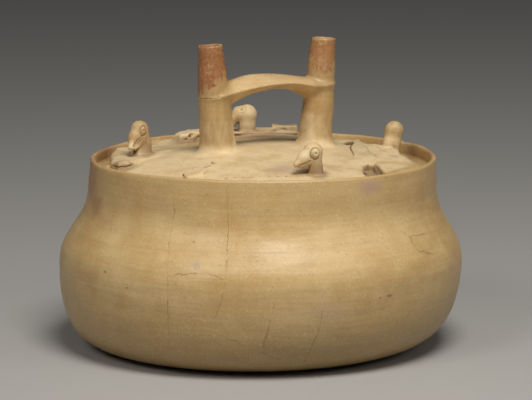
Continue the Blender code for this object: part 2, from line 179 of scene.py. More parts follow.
# Birds as bent rolls of clay: places along neck, crown and upper beak, then along the lower beak, each
# with its radius, in front axes and millimetres
BIRDS = {
    "right": (
        ((63.6, 22.2, 91, 4.6), (65.1, 22.8, 98.6, 4.15), (66.1, 23.2, 104.2, 4.5), (66.9, 27, 102.6, 3.4),
         (67.2, 31.5, 98.8, 1.5)),
        ((66.5, 25, 101.2, 2.6), (66.8, 28.6, 98.0, 1.0))),
    "back": (
        ((-8.5, 54, 96, 4.6), (-8.5, 54, 103.4, 4.1), (-8.5, 54, 108.3, 4.8), (-12.6, 53.5, 108.5, 3.8),
         (-15.0, 53.0, 106.4, 2.3), (-15.2, 52.9, 103.6, 1.35)),
        ((-12.5, 53.5, 106.8, 2.0), (-14.1, 53.2, 104.4, 1.0))),
    "left": (
        ((-61.2, 2.6, 90, 6.2), (-60.3, 4, 100, 4.2), (-61.8, 3.5, 107.3, 4.3), (-64.0, 0.6, 103.6, 3.4),
         (-65.9, -2.8, 99.3, 1.6)),
        ((-61.6, 1.6, 101.6, 3.3), (-64.4, -1.8, 98.5, 1.1))),
    "front": (
        ((25.6, -54.6, 88, 4.6), (25.2, -55, 97, 3.2), (23.9, -55.3, 105.0, 4.3), (19.4, -57.6, 102.0, 3.0),
         (15.7, -59.8, 99.2, 1.35)),
        ((23.0, -56.0, 101.0, 2.9), (17.6, -58.9, 98.4, 1.1))),
}

Stroke = namedtuple("Stroke", "shape low high blend carve")


def metres(name, description, default):
    """A length for a group of settings."""
    return FloatProperty(name=name, description=description, default=default, unit="LENGTH")


def tint(name, description, default):
    """A linear colour for a group of settings."""
    return FloatVectorProperty(name=name, description=description, default=default, subtype="COLOR")


class BowlSizes(bpy.types.PropertyGroup):
    """Sizes of the round bowl and its collar."""
    foot_radius: metres("Foot radius", "Radius of the flat foot", 0.055)
    belly_radius: metres("Belly radius", "Largest radius of the bowl", 0.1005)
    belly_height: metres("Belly height", "Height of the widest level", 0.0436)
    collar_radius: metres("Collar radius", "Radius at the collar's foot", 0.0870)
    collar_height: metres("Collar height", "Height of the collar's foot", 0.0816)
    rim_radius: metres("Rim radius", "Outer radius of the lip", 0.0863)
    rim_height: metres("Rim height", "Height of the lip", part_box("bowl")[1][2])
    lip_thickness: metres("Lip thickness", "Thickness of the collar at the lip", 0.0024)
    wall: metres("Wall", "Thickness of the bowl's wall", 0.0042)
    floor: metres("Floor", "Thickness of the floor", 0.0055)
    columns: IntProperty(name="Columns", description="Faces round the bowl", default=280, min=24)


class TopSizes(bpy.types.PropertyGroup):
    """Sizes of the sunken top and of what stands on it."""
    dome_height: metres("Dome height", "Height of the dome's crown", 0.1000)
    dome_curve: metres("Dome curve", "Radius of the dome's curve at its crown", 0.277)
    dome_wall: metres("Dome wall", "Thickness of the dome", 0.0042)
    trough_fillet: metres("Trough fillet", "Radius of the fillet between dome and collar", 0.0032)
    bridge_width: metres("Bridge half width", "Half the width of the strap", 0.0088)
    grain: metres("Grain", "Cell of the grid that the top is modelled on", 0.00065)
    triangles: IntProperty(
        name="Triangles", description="Triangles kept in the top", default=105000, min=1000)


class ClayColours(bpy.types.PropertyGroup):
    """Colours of the clay, its paint, its dirt and its painted shade, linear."""
    cream: tint("Cream", "Burnished clay in its paler places", (0.68, 0.49, 0.235))
    # Tan also paints shade: towards the foot, on the collar and behind the left spout
    tan: tint("Tan", "Burnished clay in its warmer places", (0.53, 0.335, 0.132))
    # Pale serves the light grains, and on the sunken top it is partly painted light
    pale: tint("Pale", "Palest clay, on the dome and the birds", (0.75, 0.58, 0.335))
    paint: tint("Paint", "Red-brown paint on the spouts", (0.29, 0.098, 0.036))
    # This brown stands for earth and also for painted shade: in the hollows, under the slabs and the birds'
    # heads, and in the trough
    dirt_and_shade: tint("Dirt", "Brown earth left in the hollows", (0.17, 0.085, 0.032))
    stain: tint("Stain", "Red-brown stain on the collar", (0.36, 0.15, 0.07))
    smudge: tint("Smudge", "Greyish lilac smudge", (0.40, 0.27, 0.24))


class StageSettings(bpy.types.PropertyGroup):
    """Floor and camera."""
    floor_colour: tint("Floor colour", "Colour of the pale floor", (0.42, 0.41, 0.39))
    distance: metres("Camera distance", "From the camera to the vessel", 1.5)
    width: metres("Picture width", "Width of the picture at the vessel", 0.266)
    elevation: FloatProperty(
        name="Camera elevation", description="How far the camera looks down", subtype="ANGLE",
        default=math.radians(9.28))


def unevenness(x, y, z, wavelength, seed, waves=12):
    """Gentle random relief of about -1 to 1.

    It is a sum of sine waves, each sin(k . p + phase), whose wave vectors k have seeded random
    directions and lengths of 0.7 to 1.4 times 2 pi / wavelength.
    """
    draw = np.random.default_rng(seed)
    total = 0.0
    for _ in range(waves):
        direction = draw.normal(size=3)
        direction *= 2 * math.pi / wavelength * draw.uniform(0.7, 1.4) / np.linalg.norm(direction)
        a, b, c = direction.astype(np.float32)
        total = total + np.sin(a * x + b * y + c * z + np.float32(draw.uniform(0, 2 * math.pi)))
    return total * np.float32(1.0 / math.sqrt(waves))


def smooth_step(value, low, high):
    """0 below low, 1 above high, and t * t * (3 - 2 t) between."""
    t = np.clip((value - low) / (high - low), 0.0, 1.0)
    return t * t * (3 - 2 * t)


def bezier(ends, count):
    """Cubic Bezier arc: its four points weighted by (1-t)^3, 3t(1-t)^2, 3t^2(1-t) and t^3."""
    t = np.linspace(0.0, 1.0, count)[:, None]
    s = 1 - t
    a, b, c, d = (np.array(point) for point in ends)
    return s ** 3 * a + 3 * s * s * t * b + 3 * s * t * t * c + t ** 3 * d


def evenly(points, step):
    """The same outline with its points a step apart, read off along its length."""
    along = np.concatenate([[0.0], np.cumsum(np.hypot(*np.diff(points, axis=0).T))])
    at = np.linspace(0.0, along[-1], max(2, round(along[-1] / step) + 1))
    return np.stack([np.interp(at, along, points[:, axis]) for axis in range(2)], 1)


def unit(vectors):
    """The same vectors at length one."""
    return vectors / np.linalg.norm(vectors, axis=-1, keepdims=True)


def turned_by(x, y, angle):
    """X and Y turned round the Z axis."""
    c, s = math.cos(angle), math.sin(angle)
    return c * x - s * y, s * x + c * y


def lean(height, rim_height):
    """Where the bowl's middle is at a height: it rolls over the foot, then leans evenly."""
    roll = FOOT_SHARE * (1 - np.exp(-np.maximum(height, 0.0) / FOOT_ROLL))
    away = RIM_OFFSET * (roll + (1 - FOOT_SHARE) * np.minimum(height / rim_height, 1.0))
    return away * math.cos(FRONT_TURN), away * math.sin(FRONT_TURN)


def dome_height(radius, top):
    """The dome is the cap of a parabola: height - radius^2 / (2 curve)."""
    return top.dome_height - radius * radius / (2 * top.dome_curve)


def from_front(points, rim_height):
    """Front axes, from the rim's middle, turned and moved into the frame's axes."""
    x, y = turned_by(points[:, 0], points[:, 1], FRONT_TURN)
    shift = lean(rim_height, rim_height)
    return np.stack([x + shift[0], y + shift[1], points[:, 2]], 1)


def to_front(points, rim_height):
    """The frame's axes turned and moved into front axes, from the rim's middle."""
    shift = lean(rim_height, rim_height)
    x, y = turned_by(points[:, 0] - shift[0], points[:, 1] - shift[1], -FRONT_TURN)
    return np.stack([x, y, points[:, 2]], 1)


def mesh_object(name, points, *groups):
    """A smooth-shaded mesh object from an array of points and arrays of equal-sided faces."""
    mesh = bpy.data.meshes.new(name)
    mesh.vertices.add(len(points))
    mesh.vertices.foreach_set("co", points.astype(np.float32).ravel())
    loops = np.concatenate([group.ravel() for group in groups]).astype(np.int32)
    sizes = np.concatenate([np.full(len(group), group.shape[1]) for group in groups])
    starts = np.concatenate([[0], np.cumsum(sizes)[:-1]]).astype(np.int32)
    mesh.loops.add(len(loops))
    mesh.loops.foreach_set("vertex_index", loops)
    mesh.polygons.add(len(sizes))
    mesh.polygons.foreach_set("loop_start", starts)
    mesh.update(calc_edges=True)
    mesh.shade_smooth()
    obj = bpy.data.objects.new(name, mesh)
    bpy.context.scene.collection.objects.link(obj)
    return obj


def mesh_points(mesh, kind="co"):
    """The mesh's vertex places or normals as an array."""
    values = np.empty(3 * len(mesh.vertices), np.float32)
    if kind == "co":
        mesh.vertices.foreach_get("co", values)
    else:
        mesh.vertex_normals.foreach_get("vector", values)
    return values.reshape(-1, 3)


def evaluated(obj):
    """Apply the object's modifiers to its mesh."""
    graph = bpy.context.evaluated_depsgraph_get()
    mesh = bpy.data.meshes.new_from_object(obj.evaluated_get(graph))
    obj.modifiers.clear()
    old = obj.data
    obj.data = mesh
    bpy.data.meshes.remove(old)
    return obj


def combine(target, tool, operation):
    """Join a closed tool to the target or cut it out, then remove the tool."""
    boolean = target.modifiers.new(tool.name, "BOOLEAN")
    boolean.operation = operation
    boolean.solver = "MANIFOLD"
    boolean.object = tool
    evaluated(target)
    bpy.data.objects.remove(tool)


def bowl_side(bowl):
    """The bowl's outer side from the lip down to the foot, as three Bezier arcs."""
    lip, collar = bowl.lip_thickness, (bowl.collar_radius, bowl.collar_height)
    belly, foot = (bowl.belly_radius, bowl.belly_height), (bowl.foot_radius, 0.0)
    start = (bowl.rim_radius, bowl.rim_height - lip / 2)
    arcs = [bezier((start, (bowl.rim_radius, bowl.rim_height - 2 * lip),
                    (collar[0], collar[1] + 2 * lip), collar), 60),
            bezier((collar, (collar[0], collar[1] - COLLAR_PULL), (belly[0], belly[1] + BELLY_PULL_UP),
                    belly), 120),
            bezier((belly, (belly[0], belly[1] - BELLY_PULL_DOWN), (foot[0] + FOOT_PULL, 0.0), foot), 160)]
    return np.concatenate([arcs[0], arcs[1][1:], arcs[2][1:]])


def bowl_outline(bowl, top):
    """From the middle of the floor up inside the wall, over the round lip, down outside to the middle
    of the foot. The inside is the outer side moved inwards by the wall along its own normal."""
    side = bowl_side(bowl)
    along = np.gradient(side, axis=0)
    inwards = np.stack([along[:, 1], -along[:, 0]], 1) / np.hypot(*along.T)[:, None]
    inner = side + inwards * bowl.wall
    collar = bowl.rim_radius - bowl.lip_thickness
    seat = dome_height(collar, top) - top.dome_wall
    inside = inner[(inner[:, 1] > bowl.floor) & (inner[:, 1] < seat)][::-1]
    floor = np.array([(0.0, bowl.floor), (inside[0][0] - bowl.floor, bowl.floor)])
    half = bowl.lip_thickness / 2
    angle = np.linspace(math.pi, 0.0, 9)
    lip = np.stack([collar + half + half * np.cos(angle),
                    bowl.rim_height - half + half * np.sin(angle)], 1)
    return np.concatenate([
        evenly(floor, 0.007), evenly(inside, 0.0035)[1:],
        evenly(np.array([inside[-1], (collar, seat + 0.002), lip[0]]), 0.0009)[1:], lip[1:],
        evenly(side, 0.0018)[1:], evenly(np.array([(bowl.foot_radius, 0.0), (0.0, 0.0)]), 0.0045)[1:]])


def ring_faces(rows, columns):
    """Quads between rings of points, one ring a row, and triangles to a pole at each end.

    The two poles' numbers follow those of the rings.
    """
    grid = np.arange(rows * columns).reshape(rows, columns)
    near = np.roll(grid, -1, axis=1)
    quads = np.stack([grid[:-1], grid[1:], near[1:], near[:-1]], -1).reshape(-1, 4)
    first, last = (np.full(columns, grid.size + end) for end in (0, 1))
    fans = [np.stack([first, grid[0], near[0]], 1), np.stack([last, near[-1], grid[-1]], 1)]
    return quads, np.concatenate(fans)


def turned(name, outline, columns, moved):
    """A closed turned surface: the outline's points carried round Z in even steps.

    The outline starts and ends on the axis, and those two points become poles. "moved" takes and gives
    an array of points, and lays the bowl's lean and unevenness on them.
    """
    angle = np.arange(columns) * 2 * math.pi / columns
    radius, height = outline[1:-1].T
    rings = np.stack([radius[:, None] * np.cos(angle), radius[:, None] * np.sin(angle),
                      np.broadcast_to(height[:, None], (len(height), columns))], -1)
    poles = np.array([(0.0, 0.0, outline[0][1]), (0.0, 0.0, outline[-1][1])])
    points = moved(np.concatenate([rings.reshape(-1, 3), poles]))
    return mesh_object(name, points, *ring_faces(len(height), columns))


def hand_worked(bowl):
    """What the potter's hand does to the turned bowl's points.

    The wall wanders by a third of a millimetre, less at the foot so that it stands flat. The lip
    swells by soft bumps exp(-(angle / width)^2), has small chips, and the whole bowl leans.
    """
    def moved(points):
        x, y, z = points.T
        azimuth = np.degrees(np.arctan2(y, x)) - math.degrees(FRONT_TURN)
        wander = sum(depth * MM * unevenness(x * across, y * across, z * up, wavelength, seed)
                     for depth, across, up, wavelength, seed in WALL_WANDER)
        push = 1 + wander * smooth_step(z, 0.0005, 0.008) / np.maximum(np.hypot(x, y), 0.02)
        near_lip = smooth_step(z, bowl.rim_height - 0.011, bowl.rim_height - 0.001)
        rise = 0.12 * MM * unevenness(x, y, 0.0, 0.02, 6)
        for middle, width, height in RIM_SWELLINGS:
            away = (azimuth - middle + 180) % 360 - 180
            rise = rise + height * MM * np.exp(-(away / width) ** 2)
        at_top = smooth_step(z, bowl.rim_height - 0.0016, bowl.rim_height - 0.0004)
        for middle, length, depth in RIM_CHIPS:
            away = np.radians((azimuth - middle + 180) % 360 - 180) * bowl.rim_radius / (length * MM)
            rise = rise - depth * MM * at_top * np.exp(-away ** 4)
        dx, dy = lean(z, bowl.rim_height)
        return np.stack([x * push + dx, y * push + dy, z + rise * near_lip], 1)
    return moved


def laid_on(depth, distance, blend, carve):
    """One stroke laid on the clay: a smooth union, or with carve a smooth difference.

    The union is min(a, b) - h^2 blend / 4 with h = max(blend - |a - b|, 0) / blend.
    """
    if carve:
        return -laid_on(-depth, distance, blend, False)
    overlap = np.maximum(blend - np.abs(depth - distance), 0.0) / blend
    return np.minimum(depth, distance) - overlap * overlap * (blend * 0.25)


def clay_grid(strokes, axes):
    """The clay's depth on a grid: every stroke is laid on the block of cells that it can reach."""
    depth = np.full([len(axis) for axis in axes], FAR, np.float32)
    for stroke in strokes:
        block = tuple(slice(*np.searchsorted(axis, (low, high)))
                      for axis, low, high in zip(axes, stroke.low, stroke.high))
        distance = stroke.shape(*np.ix_(*(axis[part] for axis, part in zip(axes, block))))
        depth[block] = laid_on(depth[block], distance.astype(np.float32), stroke.blend, stroke.carve)
    return depth


def clay_depth(strokes, points):
    """The clay's depth at loose points: below zero in the clay, above zero in the air."""
    depth = np.full(len(points), FAR, np.float32)
    for stroke in strokes:
        near = np.all((points >= stroke.low) & (points <= stroke.high), axis=1)
        if near.any():
            distance = stroke.shape(*points[near].T)
            depth[near] = laid_on(depth[near], distance, stroke.blend, stroke.carve)
    return depth


def settled(strokes, points, rounds=1, reach=0.0005):
    """Points moved onto the clay's surface: by -depth * slope / |slope|^2, at most the reach each."""
    step = np.float32(0.00012)
    for _ in range(rounds):
        depth = clay_depth(strokes, points)
        slope = np.stack([clay_depth(strokes, points + step * unit) - depth
                          for unit in np.eye(3, dtype=np.float32)], 1) / step
        size = np.maximum((slope ** 2).sum(1), 0.05)
        move = -depth[:, None] * slope / size[:, None]
        length = np.linalg.norm(move, axis=1, keepdims=True)
        points = points + move * np.minimum(1.0, reach / np.maximum(length, 1e-9))
    return points


def without_pinches(depth):
    """Fill the places where two skins of the clay would touch at a point.

    Those are cell faces whose corners are clay and air crosswise, and cells where only two opposite
    corners are clay, or only two are air.
    """
    for _ in range(12):
        cells = [slice(0, -1), slice(1, None)]
        corners = [depth[cells[a], cells[b], cells[c]] for a in (0, 1) for b in (0, 1) for c in (0, 1)]
        clay = sum((corner < 0).astype(np.int8) for corner in corners)
        found = 0
        for first in range(4):
            a, b = corners[first] < 0, corners[7 - first] < 0
            for pinch in (a & b & (clay == 2), ~a & ~b & (clay == 6)):
                found += int(pinch.sum())
                for corner in corners:
                    corner[pinch] = np.minimum(corner[pinch], -1e-6)
        for axis in range(3):
            grid = depth.transpose([(axis + turn) % 3 for turn in range(3)])
            sides = (grid[:, :-1, :-1], grid[:, 1:, :-1], grid[:, 1:, 1:], grid[:, :-1, 1:])
            a, b, c, d = (side < 0 for side in sides)
            pinch = (a == c) & (b == d) & (a != b)
            found += int(pinch.sum())
            for side in sides:
                side[pinch] = np.minimum(side[pinch], -1e-6)
        if not found:
            break
    return depth


def surface_net(depth, axes):
    """Points and quads over the zero level of a depth grid.

    Each cell that the level crosses gets one point: the mean of the places where the level cuts the
    cell's twelve edges, by straight interpolation. Every grid edge that the level cuts gets one quad
    of the four cells round it, turned to face from the clay to the air.
    """
    inside = depth < 0
    cells = tuple(count - 1 for count in depth.shape)
    corners = [(a, b, c) for a in (0, 1) for b in (0, 1) for c in (0, 1)]

    def corner_of(grid, corner):
        return grid[tuple(slice(start, start + count) for start, count in zip(corner, cells))]

    filled = sum(corner_of(inside, corner).astype(np.int8) for corner in corners)
    where = np.nonzero((filled > 0) & (filled < 8))
    values = np.stack([corner_of(depth, corner)[where] for corner in corners], 1)
    total = np.zeros((len(values), 3), np.float32)
    cuts = np.zeros((len(values), 1), np.float32)
    for first in range(8):
        for axis, bit in enumerate((4, 2, 1)):
            if first & bit:
                continue
            a, b = values[:, first], values[:, first | bit]
            crossed = ((a < 0) != (b < 0))[:, None]
            share = np.where(crossed[:, 0], a / np.where(a == b, 1.0, a - b), 0.0)
            place = np.array(corners[first], np.float32) + share[:, None] * np.eye(3)[axis]
            total += np.where(crossed, place, 0.0)
            cuts += crossed
    local = total / cuts
    points = np.stack([axes[axis][0] + (where[axis] + local[:, axis]) * (axes[axis][1] - axes[axis][0])
                       for axis in range(3)], 1)
    number = np.full(cells, -1, np.int32)
    number[where] = np.arange(len(values))
    quads = []
    for axis in range(3):
        order = [(axis + turn) % 3 for turn in range(3)]
        solid, cell = inside.transpose(order), number.transpose(order)
        low, high = solid[:-1, 1:-1, 1:-1], solid[1:, 1:-1, 1:-1]
        for clay, air, turn in ((low, high, 1), (high, low, -1)):
            i, j, k = np.nonzero(clay & ~air)
            ring = np.stack([cell[i, j, k], cell[i, j + 1, k], cell[i, j + 1, k + 1], cell[i, j, k + 1]], 1)
            quads.append(ring[:, ::turn])
    return points, np.concatenate(quads)


def box_round(first, second, pad):
    """The lowest and the highest corner of the box round two points, a pad larger on every side."""
    return np.minimum(first, second) - pad, np.maximum(first, second) + pad


def roll_stroke(first, second, blend, carve=False):
    """A roll of clay between two (x, y, z, radius) places in millimetres: the distance to the line
    between them, less a radius that changes evenly along it."""
    a, b = (np.array(place[:3], np.float32) * MM for place in (first, second))
    ra, rb = first[3] * MM, second[3] * MM
    along = b - a
    length2 = float(along @ along)
    pad = max(ra, rb) + blend + 2 * MM

    def shape(x, y, z):
        t = ((x - a[0]) * along[0] + (y - a[1]) * along[1] + (z - a[2]) * along[2]) / length2
        t = np.clip(t, 0.0, 1.0)
        gap = (x - a[0] - t * along[0]) ** 2 + (y - a[1] - t * along[1]) ** 2 + (z - a[2] - t * along[2]) ** 2
        return np.sqrt(gap) - (ra + (rb - ra) * t)

    return Stroke(shape, *box_round(a, b, pad), blend, carve)


def plate_stroke(outline, top, thickness, rounding, blend, slope, ripple, carve=False):
    """A flat plate with a rounded edge, lengths in millimetres.

    Its level distance is that to the outline's polygon. The plate's distance is the length of
    (level distance + r, |height from its middle| - half thickness + r) where both are above zero,
    less r, as for a rounded box. The plate slopes and ripples a little.
    """
    corners = np.array(outline, np.float32) * MM
    half, r, blend = thickness * MM / 2, rounding * MM, blend * MM
    middle = corners.mean(0)
    seed = int(abs(outline[0][0]) * 7 + abs(outline[0][1]) * 3)

    def level_distance(x, y):
        nearest, sign = FAR, 1.0
        for (ax, ay), (bx, by) in zip(corners, np.roll(corners, -1, axis=0)):
            ex, ey, px, py = bx - ax, by - ay, x - ax, y - ay
            t = np.clip((px * ex + py * ey) / (ex * ex + ey * ey), 0.0, 1.0)
            nearest = np.minimum(nearest, (px - t * ex) ** 2 + (py - t * ey) ** 2)
            straddles = (y >= ay) != (y >= by)
            left = (ex * py > ey * px) == (by > ay)
            sign = np.where(straddles & left, -sign, sign)
        return np.sqrt(nearest) * sign

    def shape(x, y, z):
        level = level_distance(x, y) + r
        centre = top * MM - half + slope[0] * (x - middle[0]) + slope[1] * (y - middle[1])
        centre = centre + ripple * MM * unevenness(x, y, 0.0, 0.016, seed)
        across = np.abs(z - centre) - half + r
        outside = np.hypot(np.maximum(level, 0.0), np.maximum(across, 0.0))
        return outside + np.minimum(np.maximum(level, across), 0.0) - r

    pad = blend + 2.5 * MM
    lowest, highest = corners.min(0), corners.max(0)
    tilt = np.abs(slope) @ (highest - lowest)
    low = np.array([*(lowest - pad), (top - thickness) * MM - pad - tilt])
    high = np.array([*(highest + pad), top * MM + pad + tilt])
    return Stroke(shape, low, high, blend, carve)


def dome_stroke(bowl, top):
    """The domed disc: below its upper side, above its lower side and inside its edge, which is buried
    in the collar. Near the collar the upper side rises in a quarter-round fillet."""
    collar = bowl.rim_radius - bowl.lip_thickness
    edge, fillet = bowl.rim_radius - bowl.lip_thickness / 2, top.trough_fillet

    def shape(x, y, z):
        radius = np.hypot(x, y)
        into = np.clip(radius - (collar - fillet), 0.0, fillet)
        relief = 0.30 * unevenness(x, y, 0.0, 0.046, 11) + 0.09 * unevenness(x, y, 0.0, 0.013, 12)
        for (cx, cy), (wx, wy), height in MOUNDS:
            relief = relief + height * np.exp(-((x / MM - cx) / wx) ** 2 - ((y / MM - cy) / wy) ** 2)
        upper = dome_height(radius, top) + fillet - np.sqrt(fillet ** 2 - into ** 2) + relief * MM
        lower = dome_height(radius, top) - top.dome_wall
        return np.maximum(np.maximum((z - upper) * 0.97, (lower - z) * 0.97), radius - edge)

    return Stroke(shape, (-FAR,) * 3, (FAR,) * 3, 0.1 * MM, False)


def spout_line(spout, top):
    """A spout's foot and tip in front axes, the unit vector along it and its length."""
    across = np.array(turned_by(1.0, 0.0, -FRONT_TURN))
    foot = np.array([*(across * spout["foot"] * MM), dome_height(spout["foot"] * MM, top)])
    tip = np.array([*(across * spout["tip"] * MM), spout["top"] * MM])
    length = float(np.linalg.norm(tip - foot))
    return foot, tip, (tip - foot) / length, length


def from_line(x, y, z, start, axis):
    """How far along a line each point is, and how far from it."""
    px, py, pz = x - start[0], y - start[1], z - start[2]
    along = px * axis[0] + py * axis[1] + pz * axis[2]
    away = np.sqrt(np.maximum(px * px + py * py + pz * pz - along * along, 0.0))
    return along, away


def spout_stroke(spout, top):
    """A tapering tube's outside: straight from foot to middle, then closing in by share^1.2 to the tip,
    with a soft luted flare at the foot and a tip cut by a leaning plane."""
    foot, tip, axis, length = spout_line(spout, top)
    foot_radius, mid_radius, tip_radius = (radius * MM for radius in spout["radii"])
    lean_x, lean_y = spout["tip_lean"]
    plane = unit(np.array([-lean_x, -lean_y, 1.0]))

    def shape(x, y, z):
        along, away = from_line(x, y, z, foot, axis)
        share = along / length
        low = foot_radius + (mid_radius - foot_radius) * np.clip(share / SPOUT_MID_SHARE, 0.0, 1.0)
        high = np.clip((share - SPOUT_MID_SHARE) / (1 - SPOUT_MID_SHARE), 0.0, 1.2)
        radius = low + (tip_radius - mid_radius) * high ** SPOUT_TAPER
        radius = radius + FOOT_FLARE[0] * np.exp(-np.maximum(along, 0.0) / FOOT_FLARE[1])
        radius = radius + 0.16 * MM * unevenness(x, y, z, 0.017, 21)
        over = (x - tip[0]) * plane[0] + (y - tip[1]) * plane[1] + (z - tip[2]) * plane[2]
        over = over + 0.12 * MM * unevenness(x, y, 0.0, 0.007, 22)
        return np.maximum(laid_on(away - radius, -over, TIP_ROUNDING, True), -along - 2 * MM)

    return Stroke(shape, *box_round(foot, tip, 15 * MM), 2.6 * MM, False)


def bore_stroke(spout, top):
    """The hole through a spout, wider at the foot, with a rounded inner edge at the tip."""
    foot, tip, axis, length = spout_line(spout, top)

    def shape(x, y, z):
        along, away = from_line(x, y, z, foot, axis)
        radius = FOOT_BORE + (TIP_BORE - FOOT_BORE) * along / length
        radius = radius + MOUTH_FLARE[0] * np.exp(-np.maximum(length - along, 0.0) / MOUTH_FLARE[1])
        return away - radius

    return Stroke(shape, *box_round(foot, tip, 14 * MM), 0.5 * MM, True)


def bridge_stroke(top):
    """The strap between the spouts: lens-shaped sections carried along the spouts' line.

    With w the distance from the strap's middle line over its half width, its upper side is
    crown - (crown - edge) w^2 and its lower side is underside + (edge - underside) w^2.
    """
    stations = np.array(STRAP).T * MM
    start, end = (place * MM for place in STRAP_ENDS)

    def shape(x, y, z):
        u, v = turned_by(x, y, FRONT_TURN)
        crown, edge, under = (sum(np.interp(u + step * MM, stations[0], row) for step in (-3, -1, 1, 3)) / 4
                              for row in stations[1:])
        crown = crown + 0.12 * MM * unevenness(u, v, 0.0, 0.014, 31)
        half = top.bridge_width + 0.2 * MM * unevenness(u, 0.0, 0.0, 0.02, 32)
        past = np.maximum(np.maximum(start - u, u - end), 0.0)
        square = (v * v + past * past) / (half * half)
        above = z - (crown - (crown - edge) * square)
        below = under + (edge - under) * square - z
        return np.maximum(above, below) * STEEPNESS - STRAP_SWELL

    low, high = (-STRAP_REACH, -STRAP_REACH, STRAP_LEVELS[0]), (STRAP_REACH, STRAP_REACH, STRAP_LEVELS[1])
    return Stroke(shape, low, high, 1.7 * MM, False)


def bird_strokes(bird):
    """Neck, crown and beak as one bent roll, and the lower beak pressed against the throat."""
    roll, lower = bird
    strokes = [roll_stroke(*pair, blend=1.2 * MM) for pair in zip(roll, roll[1:])]
    strokes.append(roll_stroke(*lower, blend=0.5 * MM))
    return strokes


def top_strokes(bowl, top):
    """Every stroke of the modelled top, in the order in which the clay was laid on and cut."""
    strokes = [dome_stroke(bowl, top)]
    strokes += [plate_stroke(*slab) for slab in SLABS]
    strokes.append(roll_stroke(*SEAM_ROLL, blend=0.6 * MM))
    for bird in BIRDS.values():
        strokes += bird_strokes(bird)
    strokes += [spout_stroke(spout, top) for spout in SPOUTS]
    strokes.append(bridge_stroke(top))
    strokes += [plate_stroke(*void, carve=True) for void in VOIDS]
    strokes += [roll_stroke(*pair, blend=0.5 * MM, carve=True) for pair in CREVICES]
    strokes += [bore_stroke(spout, top) for spout in SPOUTS]
    return strokes


def reduced(obj, triangles):
    """Thin the mesh to about so many triangles, fewest where it is flat."""
    count = len(obj.data.loops) - 2 * len(obj.data.polygons)
    thin = obj.modifiers.new("thinned", "DECIMATE")
    thin.ratio = min(1.0, triangles / count)
    return evaluated(obj)


# A direction that no drawn line follows, to turn its tube by
ASLANT = (0.31, 0.42, 0.85)


def tube(path, radius, closed, sides=8):
    """A round tube carried along a path of points.

    Each section is centre + radius (cos a * n + sin a * b), where b crosses the path's direction with
    a fixed side vector and n crosses b with the direction. An open tube narrows to a point at each end.
    """
    ahead = np.roll(path, -1, axis=0) - np.roll(path, 1, axis=0)
    if closed:
        beside, size = path[len(path) // 3] - path.mean(0), np.full(len(path), radius)
    else:
        ahead[0], ahead[-1] = path[1] - path[0], path[-1] - path[-2]
        beside, size = ASLANT, radius * np.sqrt(np.clip(1 - np.linspace(-1, 1, len(path)) ** 4, 0.02, 1.0))
    ahead = unit(ahead)
    across = unit(np.cross(ahead, np.cross(ahead[0], beside)))
    other = np.cross(across, ahead)
    angle = np.arange(sides)[:, None] * 2 * math.pi / sides
    turns = np.cos(angle) * across[:, None] + np.sin(angle) * other[:, None]
    points = (path[:, None] + size[:, None, None] * turns).reshape(-1, 3)
    if closed:
        grid = np.arange(len(points)).reshape(len(path), sides)
        near, after = np.roll(grid, -1, axis=1), np.roll(grid, -1, axis=0)
        return points, [np.stack([grid, near, np.roll(near, -1, axis=0), after], -1).reshape(-1, 4)]
    poles = [path[0] - ahead[0] * radius * 0.3, path[-1] + ahead[-1] * radius * 0.3]
    return np.concatenate([points, poles]), ring_faces(len(path), sides)


def ball(centre, arms, sides, rings):
    """A closed oval ball: centre + sin p cos a * u + sin p sin a * v + cos p * w, with u, v and w its
    three arms, and a pole at each end of w."""
    polar = (np.arange(rings) + 1) * math.pi / (rings + 1)
    angle = np.arange(sides) * 2 * math.pi / sides
    sphere = np.stack([np.sin(polar)[:, None] * np.cos(angle), np.sin(polar)[:, None] * np.sin(angle),
                       np.broadcast_to(np.cos(polar)[:, None], (rings, sides))], -1).reshape(-1, 3)
    sphere = np.concatenate([sphere, [(0.0, 0.0, 1.0), (0.0, 0.0, -1.0)]])
    return np.array(centre) + sphere @ np.array(arms), ring_faces(rings, sides)


def joined(name, parts, rim_height):
    """One mesh object from several closed parts in front axes, each turned to face outwards.

    A part faces outwards when the sum of p0 . (p1 x p2) over its faces, from its middle, is above zero.
    """
    points, groups, start = [], [], 0
    for place, faces in parts:
        arm = place - place.mean(0)
        volume = sum(float((arm[face[:, 0]] * np.cross(arm[face[:, 1]], arm[face[:, 2]])).sum())
                     for face in faces)
        groups += [face[:, ::1 if volume > 0 else -1] + start for face in faces]
        points.append(place)
        start += len(place)
    return mesh_object(name, from_front(np.concatenate(points), rim_height), *groups)


def facing(strokes, point):
    """The unit direction in which the clay's depth grows fastest at a point."""
    step = np.float32(0.0003)
    near = np.array(point, np.float32) + np.concatenate([np.eye(3), -np.eye(3)]).astype(np.float32) * step
    depth = clay_depth(strokes, near)
    return unit(depth[:3] - depth[3:])


def oval_on(strokes, centre, across, up, tilt, count=44):
    """An oval line on the clay: centre + across cos a * u + up sin a * v, then settled onto the surface.

    u and v are square to the clay's facing there, with v as near to upright as it can be, turned by the
    tilt round that facing.
    """
    centre = settled(strokes, np.array([centre], np.float32) * MM, 4, 0.001)[0]
    out = facing(strokes, centre)
    u = unit(np.cross((0.0, 0.0, 1.0), out))
    v = np.cross(out, u)
    u, v = u * math.cos(tilt) + v * math.sin(tilt), v * math.cos(tilt) - u * math.sin(tilt)
    angle = np.arange(count)[:, None] * 2 * math.pi / count
    path = centre + across * MM * np.cos(angle) * u + up * MM * np.sin(angle) * v
    return centre, np.stack([u, v, out]), settled(strokes, path.astype(np.float32), 5, 0.001)


def line_on(strokes, places, count=16):
    """A line on the clay: straight runs between places in millimetres, settled onto the surface."""
    corners = np.array(places, np.float32) * MM
    along = np.linspace(0, len(corners) - 1, count)
    path = np.stack([np.interp(along, np.arange(len(corners)), corners[:, axis]) for axis in range(3)], 1)
    return settled(strokes, path.astype(np.float32), 6, 0.001)


